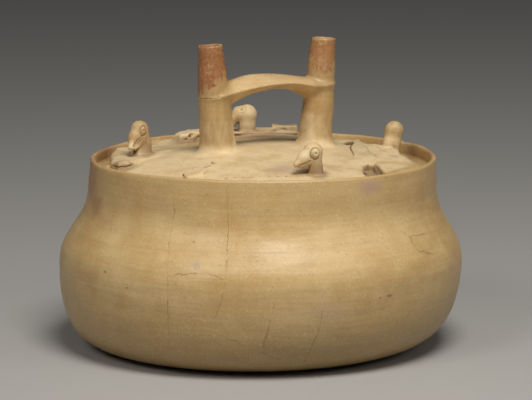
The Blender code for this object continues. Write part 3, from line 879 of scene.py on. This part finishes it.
# Eyes, in front axes and millimetres: middle, half width and half height of the incised oval, its tilt,
# the point's radius and the height of the pellet
EYES = (
    ((24.9, -59.4, 104.6), 2.7, 3.1, 0.12, 0.27, 0.75),
    ((-59.5, -1.1, 107.4), 1.9, 2.8, -0.12, 0.30, 0.60),
    ((-11.2, 50.6, 111.0), 2.6, 2.0, 0.0, 0.13, 0.0),
    ((21.6, -51.4, 105.8), 2.1, 2.9, 0.0, 0.30, 0.60),
    ((-65.0, 6.2, 107.8), 1.8, 2.6, 0.0, 0.30, 0.60),
)

# Lines drawn in the clay with a point: places in front axes and the point's radius, millimetres
DRAWN_LINES = (
    (((22.8, -59.0, 101.0), (19.8, -60.2, 99.7), (17.0, -60.8, 98.5)), 0.30),
    (((-61.4, -1.6, 104.5), (-63.1, -3.2, 102.0), (-64.6, -4.8, 99.6)), 0.42),
    (((-60.3, -2.0, 103.2), (-61.9, -3.4, 100.8), (-63.4, -4.8, 98.9)), 0.26),
    (((-32.2, -13.5, 125.6), (-29.5, -18.3, 125.6), (-24.5, -20.2, 125.6), (-20.2, -18.9, 126.0)), 0.22),
    (((-34.9, -48.9, 94.6), (-30.4, -44.7, 95.6), (-25.9, -40.5, 96.2)), 0.24),
    (((-39.2, -49.0, 93.2), (-38.4, -53.0, 92.8), (-37.0, -56.0, 92.2)), 0.42),
    (((-25.2, -34.0, 96.5), (-24.4, -38.0, 96.0)), 0.34),
    (((-74.4, -17.0, 92.0), (-71.0, -21.4, 92.2), (-67.5, -21.4, 92.4), (-65.0, -19.0, 93.0)), 0.36),
    (((45.0, 32.0, 96.0), (44.6, 27.0, 96.2), (43.7, 14.0, 96.6), (43.9, 0.0, 97.2), (44.8, -14.0, 96.8)),
     0.45),
    (((57.0, 21.5, 96.0), (60.0, 8.0, 96.0), (63.0, -4.0, 95.8), (66.6, -18.0, 95.6)), 0.11),
    (((50.0, 30.0, 96.2), (52.0, 14.0, 96.2), (53.0, 0.0, 96.0), (57.0, -14.0, 95.8)), 0.09),
)

# A row of pricks near the front lip: its two ends in front axes, millimetres, and how many
PRICK_ROW = (((-17.9, -60.4, 93.2), (10.9, -61.4, 93.2)), 8)
PRICK_RADIUS = 0.38
PUPIL_RADIUS = 0.62


def tool_marks(clay, strokes, rim_height):
    """Raise the eyes' pellets, then cut their ovals and pupils and the lines drawn with a point."""
    pellets, cuts = [], []
    for middle, across, up, tilt, point, height in EYES:
        centre, arms, path = oval_on(strokes, middle, across, up, tilt)
        if height:
            sizes = np.array([[across * 0.74], [up * 0.72], [1.0]]) * MM
            pellets.append(ball(centre + arms[2] * (height - 1.0) * MM, arms * sizes, 20, 11))
        cuts.append(tube(path, point * MM, closed=True))
        cuts.append(ball(centre + arms[2] * (height + 0.05) * MM, arms * PUPIL_RADIUS * MM, 12, 5))
    row = line_on(strokes, *PRICK_ROW)
    cuts += [ball(place, np.eye(3) * PRICK_RADIUS * MM, 8, 5) for place in row]
    for places, radius in DRAWN_LINES:
        cuts.append(tube(line_on(strokes, places), radius * MM, closed=False))
    combine(clay, joined("pellets", pellets, rim_height), "UNION")
    combine(clay, joined("cuts", cuts, rim_height), "DIFFERENCE")


# How far out the hollows are felt for, and how much a tool's mark counts as one from which depth to which
HOLLOW_STEPS = (1.2 * MM, 2.6 * MM, 5.5 * MM)
MARK_SHARE = 0.7
MARK_DEPTHS = (0.05 * MM, 0.35 * MM)


# The material darkens the clay by this share, as brown earth and as painted shade
def mark_hollows(clay, strokes, bowl):
    """Write the attribute "hollow": how closed in each point of the top is, from 0 to 1.

    From each point the clay's and the collar's distance is read at three steps out along the normal.
    Open space would give the step itself, and what is missing of it, averaged, is the hollow's share.
    Points that a tool pressed below the clay's own surface count as hollows by how deep they lie.
    """
    collar = bowl.rim_radius - bowl.lip_thickness
    points = to_front(mesh_points(clay.data), bowl.rim_height)
    normals = mesh_points(clay.data, "normal")
    out = np.stack([*turned_by(normals[:, 0], normals[:, 1], -FRONT_TURN), normals[:, 2]], 1)
    near = (points[:, 2] > 0.084) & (np.hypot(points[:, 0], points[:, 1]) < collar + 0.0015)
    missing = np.zeros(int(near.sum()), np.float32)
    for step in HOLLOW_STEPS:
        at = (points[near] + out[near] * step).astype(np.float32)
        radius, over = np.hypot(at[:, 0], at[:, 1]), np.maximum(at[:, 2] - bowl.rim_height, 0.0)
        wall = np.hypot(np.maximum(collar - radius, 0.0), over)
        room = np.minimum(clay_depth(strokes, at), wall)
        missing += np.clip(1 - room / step, 0.0, 1.0) / 3
    pressed = -clay_depth(strokes, points[near].astype(np.float32))
    missing = np.maximum(missing, MARK_SHARE * smooth_step(pressed, *MARK_DEPTHS))
    hollow = np.zeros(len(points), np.float32)
    hollow[near] = missing
    clay.data.attributes.new("hollow", "FLOAT", "POINT").data.foreach_set("value", hollow)


class Wiring:
    """Adds shader nodes to one tree."""

    def __init__(self, tree):
        self.tree = tree

    def node(self, kind, inputs=(), **settings):
        """Add a node, set it, and give each input a value or a link. Returns its outputs."""
        node = self.tree.nodes.new(kind if kind.startswith("NodeGroup") else "ShaderNode" + kind)
        for name, value in settings.items():
            setattr(node, name, value)
        for name, value in dict(inputs).items():
            if isinstance(value, bpy.types.NodeSocket):
                self.tree.links.new(value, node.inputs[name])
            else:
                node.inputs[name].default_value = value
        return node.outputs

    def maths(self, operation, *values, clamp=False):
        """One Math node."""
        return self.node("Math", enumerate(values), operation=operation, use_clamp=clamp)[0]

    def times(self, product, *factors):
        """All the values multiplied."""
        for factor in factors:
            product = self.maths("MULTIPLY", product, factor)
        return product

    def weighed(self, *pairs, start=0.0):
        """A start and then every value times its weight, added up."""
        for value, weight in pairs:
            start = self.maths("MULTIPLY_ADD", value, weight, start)
        return start

    def vectors(self, operation, *values):
        """One Vector Math node."""
        return self.node("VectorMath", enumerate(values), operation=operation)

    def scaled(self, vector, factor):
        """A vector times a number."""
        return self.node("VectorMath", {0: vector, "Scale": factor}, operation="SCALE")[0]

    def ramp(self, value, low, high, start=0.0, end=1.0):
        """A smooth step of a value from start, at low, to end, at high."""
        inputs = {"Value": value, "From Min": low, "From Max": high, "To Min": start, "To Max": end}
        return self.node("MapRange", inputs, interpolation_type="SMOOTHSTEP")["Result"]

    def blended(self, share, first, second):
        """First colour where the share is 0, second where it is 1."""
        return self.node("Mix", {0: share, 6: first, 7: second}, data_type="RGBA", clamp_factor=True)[2]

    def noise(self, place, size, detail, roughness, stretch):
        """Noise with features of about a size in millimetres, stretched along the axes."""
        scale = [1 / (size * part) for part in stretch]
        spread = self.node("Mapping", {"Vector": place, "Scale": scale})[0]
        inputs = {"Vector": spread, "Scale": 1.0, "Detail": detail, "Roughness": roughness}
        return self.node("TexNoise", inputs)[0]


def mask_group(name, **sockets):
    """A shader group that gives a mask, with named inputs. Returns it, its wiring and its inputs."""
    group = bpy.data.node_groups.new(name, "ShaderNodeTree")
    for label, kind in sockets.items():
        group.interface.new_socket(label, in_out="INPUT", socket_type="NodeSocket" + kind)
    group.interface.new_socket("Mask", in_out="OUTPUT", socket_type="NodeSocketFloat")
    wiring = Wiring(group)
    return group, wiring, wiring.node("NodeGroupInput")


def crack_group():
    """Node group: a thin line between two places, as the viewer's side sees them.

    The distance from the place to the line is |p - a - t (b - a)| in X and Z, with t the clamped
    share (p - a) . (b - a) / |b - a|^2. The mask fades out over the width.
    """
    group, n, given = mask_group("hairline crack", Place="Vector", From="Vector", To="Vector", Width="Float")
    flat = n.vectors("MULTIPLY", given["Place"], (1.0, 0.0, 1.0))[0]
    from_start = n.vectors("SUBTRACT", flat, given["From"])[0]
    line = n.vectors("SUBTRACT", given["To"], given["From"])[0]
    share = n.maths("DIVIDE", n.vectors("DOT_PRODUCT", from_start, line)["Value"],
                    n.vectors("DOT_PRODUCT", line, line)["Value"], clamp=True)
    gap = n.vectors("LENGTH", n.vectors("SUBTRACT", from_start, n.scaled(line, share))[0])["Value"]
    edge = n.maths("SUBTRACT", 1.0, n.maths("DIVIDE", gap, given["Width"]), clamp=True)
    front = n.ramp(n.node("SeparateXYZ", {0: given["Place"]})[1], -8.0, -12.0)
    n.node("NodeGroupOutput", {0: n.times(edge, front)})
    return group


def spot_group():
    """Node group: a soft-edged patch, 1 within its size of the centre and ragged by a given noise."""
    group, n, given = mask_group("patch", Place="Vector", Centre="Vector", Size="Vector",
                                 Ragged="Float", Softness="Float")
    away = n.vectors("SUBTRACT", given["Place"], given["Centre"])[0]
    length = n.vectors("LENGTH", n.vectors("DIVIDE", away, given["Size"])[0])["Value"]
    length = n.maths("ADD", length, given["Ragged"])
    low, high = (n.maths(operation, 1.0, given["Softness"]) for operation in ("SUBTRACT", "ADD"))
    n.node("NodeGroupOutput", {0: n.ramp(length, low, high, 1.0, 0.0)})
    return group


# Hairline cracks on the side that faces the viewer: across and up in front axes, millimetres
CRACKS = (
    ((-42.8, 85.6), (-42.1, 79.9), (-44.7, 65.2), (-45.3, 45), (-44.7, 16.6)),
    ((-17.1, 93.7), (-16.6, 71.2), (-17.7, 50.3), (-19.8, 38.9), (-23.2, 30.5)),
    ((-44.5, 50.6), (-36.4, 52.1), (-25.9, 52.7), (-18.4, 50.3)),
    ((2.4, 27.0), (-0.6, 17.3)),
    ((-18.5, 22.7), (-4.4, 16.3), (9.3, 10.2)),
    ((28.1, 35.0), (25.8, 24.7), (22.7, 17.1), (19.3, 8.7)),
    ((5.5, 39.2), (-0.1, 16.8)),
    ((64.5, 68.0), (70.5, 64.0), (74.0, 57.5), (82.0, 54.0)),
    ((70.5, 64.0), (79.0, 63.5)),
)
CRACK_WIDTH = 0.30

# Patches: colour, strength, centre and half sizes in front axes in millimetres, then how ragged and how
# soft the edge is
PATCHES = (
    ("smudge", 0.50, (-31.3, -92, 55.9), (1.8, 12, 1.6), 1.0, 0.7),
    ("smudge", 0.50, (51.0, -69, 90.0), (5.5, 9, 3.2), 0.9, 0.7),
    ("smudge", 0.45, (11.0, -50, 95.5), (8.0, 7, 6), 0.9, 0.8),
    ("smudge", 0.25, (30.0, -89, 34.0), (8.0, 12, 5), 1.2, 0.9),
    ("stain", 0.50, (-85.0, -20, 86.0), (5.0, 15, 11.0), 0.9, 0.5),
    ("stain", 0.50, (-81.0, -34, 75.0), (4.0, 9, 5.0), 0.9, 0.6),
    # Painted shadow of the left spout on the dome behind it
    ("tan", 0.50, (-34.0, 30.0, 95.5), (12.0, 15.0, 4.5), 0.4, 1.0),
    # Painted shade below the back slab's front edge, and under the back-left wing tip
    ("dirt_and_shade", 0.75, (0.0, 43.0, 98.4), (19.0, 11.0, 3.4), 0.35, 0.9),
    ("dirt_and_shade", 0.70, (-38.5, 46.0, 94.0), (8.5, 6.0, 3.0), 0.5, 0.8),
    # Brown earth with painted shade under the left slab's near tip
    ("dirt_and_shade", 0.62, (-69.5, -20.0, 92.2), (7.0, 6.0, 2.6), 0.7, 0.5),
    # Painted shade in the far and the near void under the right slab
    ("dirt_and_shade", 0.75, (43.5, 34.0, 94.0), (3.4, 7.0, 1.8), 0.3, 0.5),
    ("dirt_and_shade", 0.62, (53.5, -38.0, 91.0), (6.0, 16.0, 3.4), 0.4, 0.4),
    # Painted shade on the front and the left birds' necks, under their heads
    ("dirt_and_shade", 0.62, (26.4, -56.0, 94.0), (5.0, 7.0, 6.6), 0.7, 0.5),
    ("dirt_and_shade", 0.60, (-58.2, -1.0, 97.2), (4.0, 7.0, 6.0), 0.8, 0.5),
    # Painted shade on the right spout's left side, under the strap
    ("dirt_and_shade", 0.40, (19.6, 9.0, 111.0), (4.8, 9.0, 15.0), 0.7, 0.7),
    # Painted shadow of the collar in the right trough
    ("dirt_and_shade", 0.40, (75.0, 18.0, 90.0), (7.0, 24.0, 3.0), 1.0, 0.8),
    ("smudge", 0.14, (2.0, 1.0, 131.0), (30.0, 14.0, 9.0), 0.4, 0.5),
    # Painted shadow of the collar in the right trough
    ("dirt_and_shade", 0.25, (76.0, 28.0, 92.0), (9.0, 20.0, 3.6), 1.0, 0.8),
    ("stain", 0.45, (83.0, 12.0, 93.5), (4.0, 10.0, 2.2), 1.0, 0.7),
    ("stain", 0.50, (-80.0, 22.0, 93.5), (6.0, 16.0, 2.4), 1.0, 0.8),
    ("dirt_and_shade", 0.60, (-75.9, -66.7, 48.2), (0.7, 3, 0.6), 0.3, 0.4),
    ("dirt_and_shade", 0.50, (-64.9, -78.0, 42.6), (0.6, 3, 0.5), 0.3, 0.4),
    ("dirt_and_shade", 0.45, (-32.7, -85.2, 66.1), (0.6, 3, 0.5), 0.3, 0.4),
    ("dirt_and_shade", 0.60, (60.0, -79.4, 39.1), (1.3, 3, 0.6), 0.5, 0.4),
    ("dirt_and_shade", 0.50, (55.4, -82.7, 38.7), (0.5, 3, 0.5), 0.3, 0.4),
)

# How far a patch's edge wanders for each part of its raggedness, and how far a crack wanders
RAGGEDNESS = 1.6
CRACK_WANDER = 3.2

# Noises in the clay: size in millimetres, detail, roughness and stretch along the axes
NOISES = {
    "broad": (34, 2.0, 0.55, (1, 1, 1)),
    "middling": (9, 4.0, 0.6, (1, 1, 1)),
    "fine": (1.6, 3.0, 0.6, (1, 1, 1)),
    "grains": (0.9, 2.0, 0.7, (1, 1, 1)),
    "streaks": (1.5, 2.0, 0.5, (22, 22, 1)),
    "wide_streaks": (4.2, 2.0, 0.5, (14, 14, 1)),
    "upright": (1.8, 3.0, 0.6, (1, 1, 4)),
    "torn": (3.4, 4.0, 0.65, (1, 1, 1)),
    "gaps": (6.0, 2.0, 0.55, (1, 1, 1)),
}

# Paint: its lower edge's height at this place across, and how steeply it rises from there, and how far
PAINT_START = 130.3
PAINT_AT = -26.0
PAINT_SLANT = 0.5
PAINT_RISE = 5.2


def clay_material(colours, bowl):
    """Burnished clay: mottled cream, red-brown paint on the upper spouts, earth and painted shade, cracks.

    Every pattern is laid in front axes, in millimetres from the rim's middle, by one Mapping node.
    """
    material = bpy.data.materials.new("burnished_clay")
    material.use_nodes = True
    material.node_tree.nodes.clear()
    n = Wiring(material.node_tree)
    shift = Matrix.Rotation(-FRONT_TURN, 3, "Z") @ Vector((*lean(bowl.rim_height, bowl.rim_height), 0.0))
    place = n.node("Mapping", {"Vector": n.node("TexCoord")["Object"], "Location": -shift / MM,
                               "Rotation": (0.0, 0.0, -FRONT_TURN), "Scale": (1 / MM,) * 3})[0]
    x, y, z = n.node("SeparateXYZ", {0: place})[:3]
    from_axis = n.maths("SQRT", n.weighed((x, x), (y, y)))
    hollow = n.node("Attribute", attribute_name="hollow")["Fac"]
    broad, middling, fine, grains, streaks, wide_streaks, upright, torn, gaps = (
        n.noise(place, *settings) for settings in NOISES.values())
    ragged = n.maths("SUBTRACT", torn, 0.5)

    def laid(share, name, shade=1.0):
        """The colour so far, covered by a share of a named colour that the shade darkens or lightens."""
        cover = [min(1.0, shade * part) for part in getattr(colours, name)]
        return n.blended(share, colour, (*cover, 1))

    # Mottled clay: paler on the sunken top, partly as painted light; painted shade on the collar and towards
    # the foot
    mottle = n.weighed((broad, 0.9), (middling, 0.6), (streaks, 0.30), (wide_streaks, 0.22))
    colour = (*colours.tan, 1)
    colour = laid(n.ramp(mottle, 0.70, 1.36), "cream")
    # Paler on the sunken top: partly the clay's own tone, partly painted light on its upward-facing surfaces
    on_top = n.times(n.ramp(from_axis, 83.0, 76.0), n.ramp(z, 84.0, 88.0), n.ramp(z, 113.5, 116.0, 1.0, 0.0))
    colour = laid(n.times(on_top, n.ramp(middling, 0.34, 0.60, 0.45, 1.0)), "pale")
    # Warmer and darker on the collar; the darkening is painted shade of the concave collar under the rim
    on_collar = n.times(n.ramp(z, 70.0, 84.0), n.ramp(from_axis, 80.0, 84.6))
    colour = laid(n.times(on_collar, n.ramp(broad, 0.35, 0.65, 0.15, 0.45)), "tan", 0.85)
    # Painted shade: darker towards the foot, where the belly turns down away from the lights
    colour = laid(n.times(n.ramp(z, 58.0, 6.0), n.ramp(broad, 0.3, 0.7, 0.52, 0.76)), "tan", 0.50)

    # Dark flecks, light grains and scuffs
    flecks = n.ramp(fine, 0.60, 0.72, 0.0, 0.40)
    colour = laid(flecks, "tan", 0.55)
    colour = laid(n.times(n.ramp(grains, 0.56, 0.72), 0.30), "pale", 1.25)
    colour = laid(n.times(n.ramp(ragged, 0.05, 0.24), n.ramp(middling, 0.40, 0.62, 0.0, 0.35)), "tan", 0.70)

    # Paint down to a slanting edge on each spout, worn in upright streaks near that edge and at the lip
    along = n.weighed((x, math.cos(FRONT_TURN)), (y, -math.sin(FRONT_TURN)))
    off_strap = n.ramp(n.maths("ABSOLUTE", n.maths("SUBTRACT", along, STRAP_MIDDLE)), 21.0, 24.0)
    run = PAINT_RISE / PAINT_SLANT
    slant = n.ramp(x, PAINT_AT - run, PAINT_AT + run, -PAINT_RISE, PAINT_RISE)
    level = n.maths("SUBTRACT", n.maths("MULTIPLY_ADD", ragged, 9.0, z), slant)
    worn = n.ramp(n.weighed((middling, 0.6), (fine, 0.4)), 0.51, 0.63)
    low_wear = n.ramp(level, PAINT_START + 7.0, PAINT_START, 0.0, 0.6)
    worn = n.weighed((n.ramp(upright, 0.46, 0.60), low_wear), (worn, n.ramp(x, 0.0, 12.0, 0.22, 0.75)))
    keep = n.maths("SUBTRACT", 1.0, worn, clamp=True)
    keep = n.maths("SUBTRACT", keep, n.ramp(z, 150.9, 152.0, 0.0, 0.5), clamp=True)
    painted = n.times(n.ramp(level, PAINT_START - 1.4, PAINT_START + 1.0), off_strap, keep,
                      n.ramp(fine, 0.30, 0.62, 0.98, 0.82), n.ramp(x, 0.0, 12.0, 1.0, 0.88))
    colour = laid(painted, "paint")
    warm = n.times(n.ramp(z, 100.0, 104.0), off_strap, n.ramp(upright, 0.30, 0.70, 0.50, 0.85),
                   n.maths("SUBTRACT", 1.0, painted))
    colour = laid(warm, "tan", 0.78)

    # Brown earth and painted shade in the hollows, and in a band round the inside of the collar that darkens
    # further down
    band = n.times(n.ramp(from_axis, 84.8, 84.4), n.ramp(from_axis, 76.0, 83.0), n.ramp(z, 84.0, 88.0),
                   n.ramp(ragged, -0.12, 0.14, 0.45, 1.25))
    earth_and_shade = n.weighed((band, n.ramp(z, 94.0, 89.0, 0.17, 0.38)), (n.ramp(hollow, 0.16, 0.72), 1.10))
    earth_and_shade = n.maths("MULTIPLY", earth_and_shade, n.ramp(middling, 0.30, 0.62, 0.45, 1.0), clamp=True)
    colour = laid(n.times(earth_and_shade, 0.85), "dirt_and_shade")

    spot = spot_group()
    for name, strength, centre, size, rough, soft in PATCHES:
        mask = n.node("Group", {"Place": place, "Centre": centre, "Size": size, "Softness": soft,
                                "Ragged": n.times(ragged, rough * RAGGEDNESS)}, node_tree=spot)[0]
        colour = laid(n.times(mask, strength), name)

    crack = crack_group()
    wander = n.node("TexNoise", {"Vector": place, "Scale": 0.35, "Detail": 4.0, "Roughness": 0.7})["Color"]
    wander = n.scaled(n.vectors("SUBTRACT", wander, (0.5,) * 3)[0], CRACK_WANDER)
    warped = n.vectors("ADD", place, wander)[0]
    cracked = 0.0
    for line in CRACKS:
        for (ax, az), (bx, bz) in zip(line, line[1:]):
            mask = n.node("Group", {"Place": warped, "From": (ax, 0.0, az), "To": (bx, 0.0, bz),
                                    "Width": CRACK_WIDTH}, node_tree=crack)[0]
            cracked = n.maths("MAXIMUM", cracked, mask)
    cracked = n.times(cracked, n.ramp(gaps, 0.38, 0.55, 0.25, 1.0))
    colour = laid(n.times(cracked, 0.42), "dirt_and_shade", 0.55)

    height = n.weighed((streaks, 0.14), (middling, 0.30), (fine, 0.16), (grains, 0.05), (cracked, -0.30),
                       (flecks, -0.12))
    bump = n.node("Bump", {"Height": height, "Strength": 0.55, "Distance": 0.0010})[0]
    rough = n.weighed((n.ramp(mottle, 0.8, 1.5), 0.14), (on_top, 0.14), (earth_and_shade, 0.30), (fine, 0.10),
                      start=0.30)
    shader = n.node("BsdfPrincipled", {"Base Color": colour, "Roughness": rough, "Normal": bump,
                                       "Specular IOR Level": 0.5})[0]
    n.node("OutputMaterial", {"Surface": shader})
    return material


class VESSEL_OT_clay(bpy.types.Operator):
    """Make the whole vessel as one fused piece of clay, and let it stand for the five solids"""
    bl_idname = "vessel.clay"
    bl_label = "Clay vessel"

    def execute(self, context):
        bowl, top = context.scene.vessel_bowl, context.scene.vessel_top
        strokes = top_strokes(bowl, top)
        cell = top.grain * 1.0
        reach = bowl.rim_radius + 0.0006
        axes = [np.arange(low, high, cell).astype(np.float32)
                for low, high in ((-reach, reach), (-reach, reach), TOP_LEVELS)]
        points, quads = surface_net(without_pinches(clay_grid(strokes, axes)), axes)
        points = settled(strokes, points.astype(np.float32), 2)
        modelled = mesh_object("modelled_top", from_front(points, bowl.rim_height), quads)
        reduced(modelled, top.triangles)
        clay = turned("vessel_clay", bowl_outline(bowl, top), bowl.columns, hand_worked(bowl))
        combine(clay, modelled, "UNION")
        tool_marks(clay, strokes, bowl.rim_height)
        mark_hollows(clay, strokes, bowl)
        clay.data.materials.clear()
        clay.data.materials.append(clay_material(context.scene.vessel_colours, bowl))
        clay.data.shade_smooth()
        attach(clay, "root")
        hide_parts("bowl", "sunken_top", "left_spout", "right_spout", "bridge")
        return {"FINISHED"}


def aimed(scene, data, place, aim):
    """A camera or a light at a place, turned towards the aim."""
    obj = bpy.data.objects.new(data.name, data)
    obj.location = place
    obj.rotation_mode = "QUATERNION"
    obj.rotation_quaternion = (aim - obj.location).to_track_quat("-Z", "Y")
    scene.collection.objects.link(obj)
    return obj


class VESSEL_OT_stage(bpy.types.Operator):
    """Make the floor, the soft lights and the camera that looks from the photograph's side"""
    bl_idname = "vessel.stage"
    bl_label = "Stage"

    def execute(self, context):
        scene, settings = context.scene, context.scene.vessel_stage
        corners = np.array([(-1, -1, 0), (1, -1, 0), (1, 1, 0), (-1, 1, 0)], float) * FLOOR_REACH
        floor = mesh_object("floor", corners, np.array([[0, 1, 2, 3]]))
        paper = bpy.data.materials.new("floor_paper")
        paper.use_nodes = True
        shader = paper.node_tree.nodes["Principled BSDF"]
        shader.inputs["Base Color"].default_value = (*settings.floor_colour, 1)
        shader.inputs["Roughness"].default_value = 0.8
        floor.data.materials.append(paper)

        turn = Matrix.Rotation(FRONT_TURN, 4, "Z")
        rim_height = scene.vessel_bowl.rim_height
        aim = turn @ Vector((AIM_ACROSS, 0.0, AIM_HEIGHT)) + Vector((*lean(rim_height, rim_height), 0.0))
        back = turn @ Vector((0.0, -math.cos(settings.elevation), math.sin(settings.elevation)))
        camera = bpy.data.cameras.new("camera")
        camera.sensor_width = 36.0
        camera.lens = camera.sensor_width * settings.distance / settings.width
        scene.camera = aimed(scene, camera, aim + back * settings.distance, aim)

        for name, place, size, power, colour in LIGHTS:
            light = bpy.data.lights.new(name, "AREA")
            light.shape, light.size, light.energy, light.color = "DISK", size, power, colour
            aimed(scene, light, turn @ Vector(place), aim)
        scene.view_settings.view_transform = "Standard"
        world = bpy.data.worlds.new("studio")
        world.use_nodes = True
        sky = world.node_tree.nodes["Background"].inputs
        sky["Color"].default_value, sky["Strength"].default_value = SKY
        scene.world = world
        return {"FINISHED"}


# Half width of the floor, where the camera looks, and the sky's colour and strength
FLOOR_REACH = 7.0
AIM_ACROSS = 0.0013
AIM_HEIGHT = 0.07227
SKY = (0.80, 0.82, 0.86, 1), 0.07

# Studio lights in front axes: name, place, width, power and colour
LIGHTS = (
    ("overhead", (0.20, -0.66, 1.18), 0.62, 13.9, (1.0, 0.975, 0.93)),
    ("front", (-0.80, -1.05, 1.05), 0.62, 6.0, (1.0, 0.97, 0.93)),
    ("side", (1.05, -0.75, 0.80), 0.60, 2.2, (1.0, 0.98, 0.95)),
)


class VESSEL_PT_panel(bpy.types.Panel):
    """Lists the vessel's sizes, colours and steps in the sidebar"""
    bl_idname = "VESSEL_PT_panel"
    bl_label = "Vessel"
    bl_space_type = "VIEW_3D"
    bl_region_type = "UI"
    bl_category = "Vessel"

    def draw(self, context):
        for name in SETTINGS:
            box = self.layout.box()
            group = getattr(context.scene, name)
            for field in type(group).__annotations__:
                box.prop(group, field)
        for operator in (VESSEL_OT_clay, VESSEL_OT_stage):
            self.layout.operator(operator.bl_idname)


SETTINGS = {"vessel_bowl": BowlSizes, "vessel_top": TopSizes, "vessel_colours": ClayColours,
            "vessel_stage": StageSettings}
CLASSES = (*SETTINGS.values(), VESSEL_OT_clay, VESSEL_OT_stage, VESSEL_PT_panel)


def register():
    """Register the classes and hang their settings on the scene."""
    for part in CLASSES:
        bpy.utils.register_class(part)
    for name, group in SETTINGS.items():
        setattr(bpy.types.Scene, name, PointerProperty(type=group))


def unregister():
    """Take the settings and the classes away again."""
    for name in SETTINGS:
        delattr(bpy.types.Scene, name)
    for part in reversed(CLASSES):
        bpy.utils.unregister_class(part)


def main():
    """Register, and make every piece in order."""
    register()
    bpy.ops.vessel.stage()
    bpy.ops.vessel.clay()


if __name__ == "__main__":
    main()
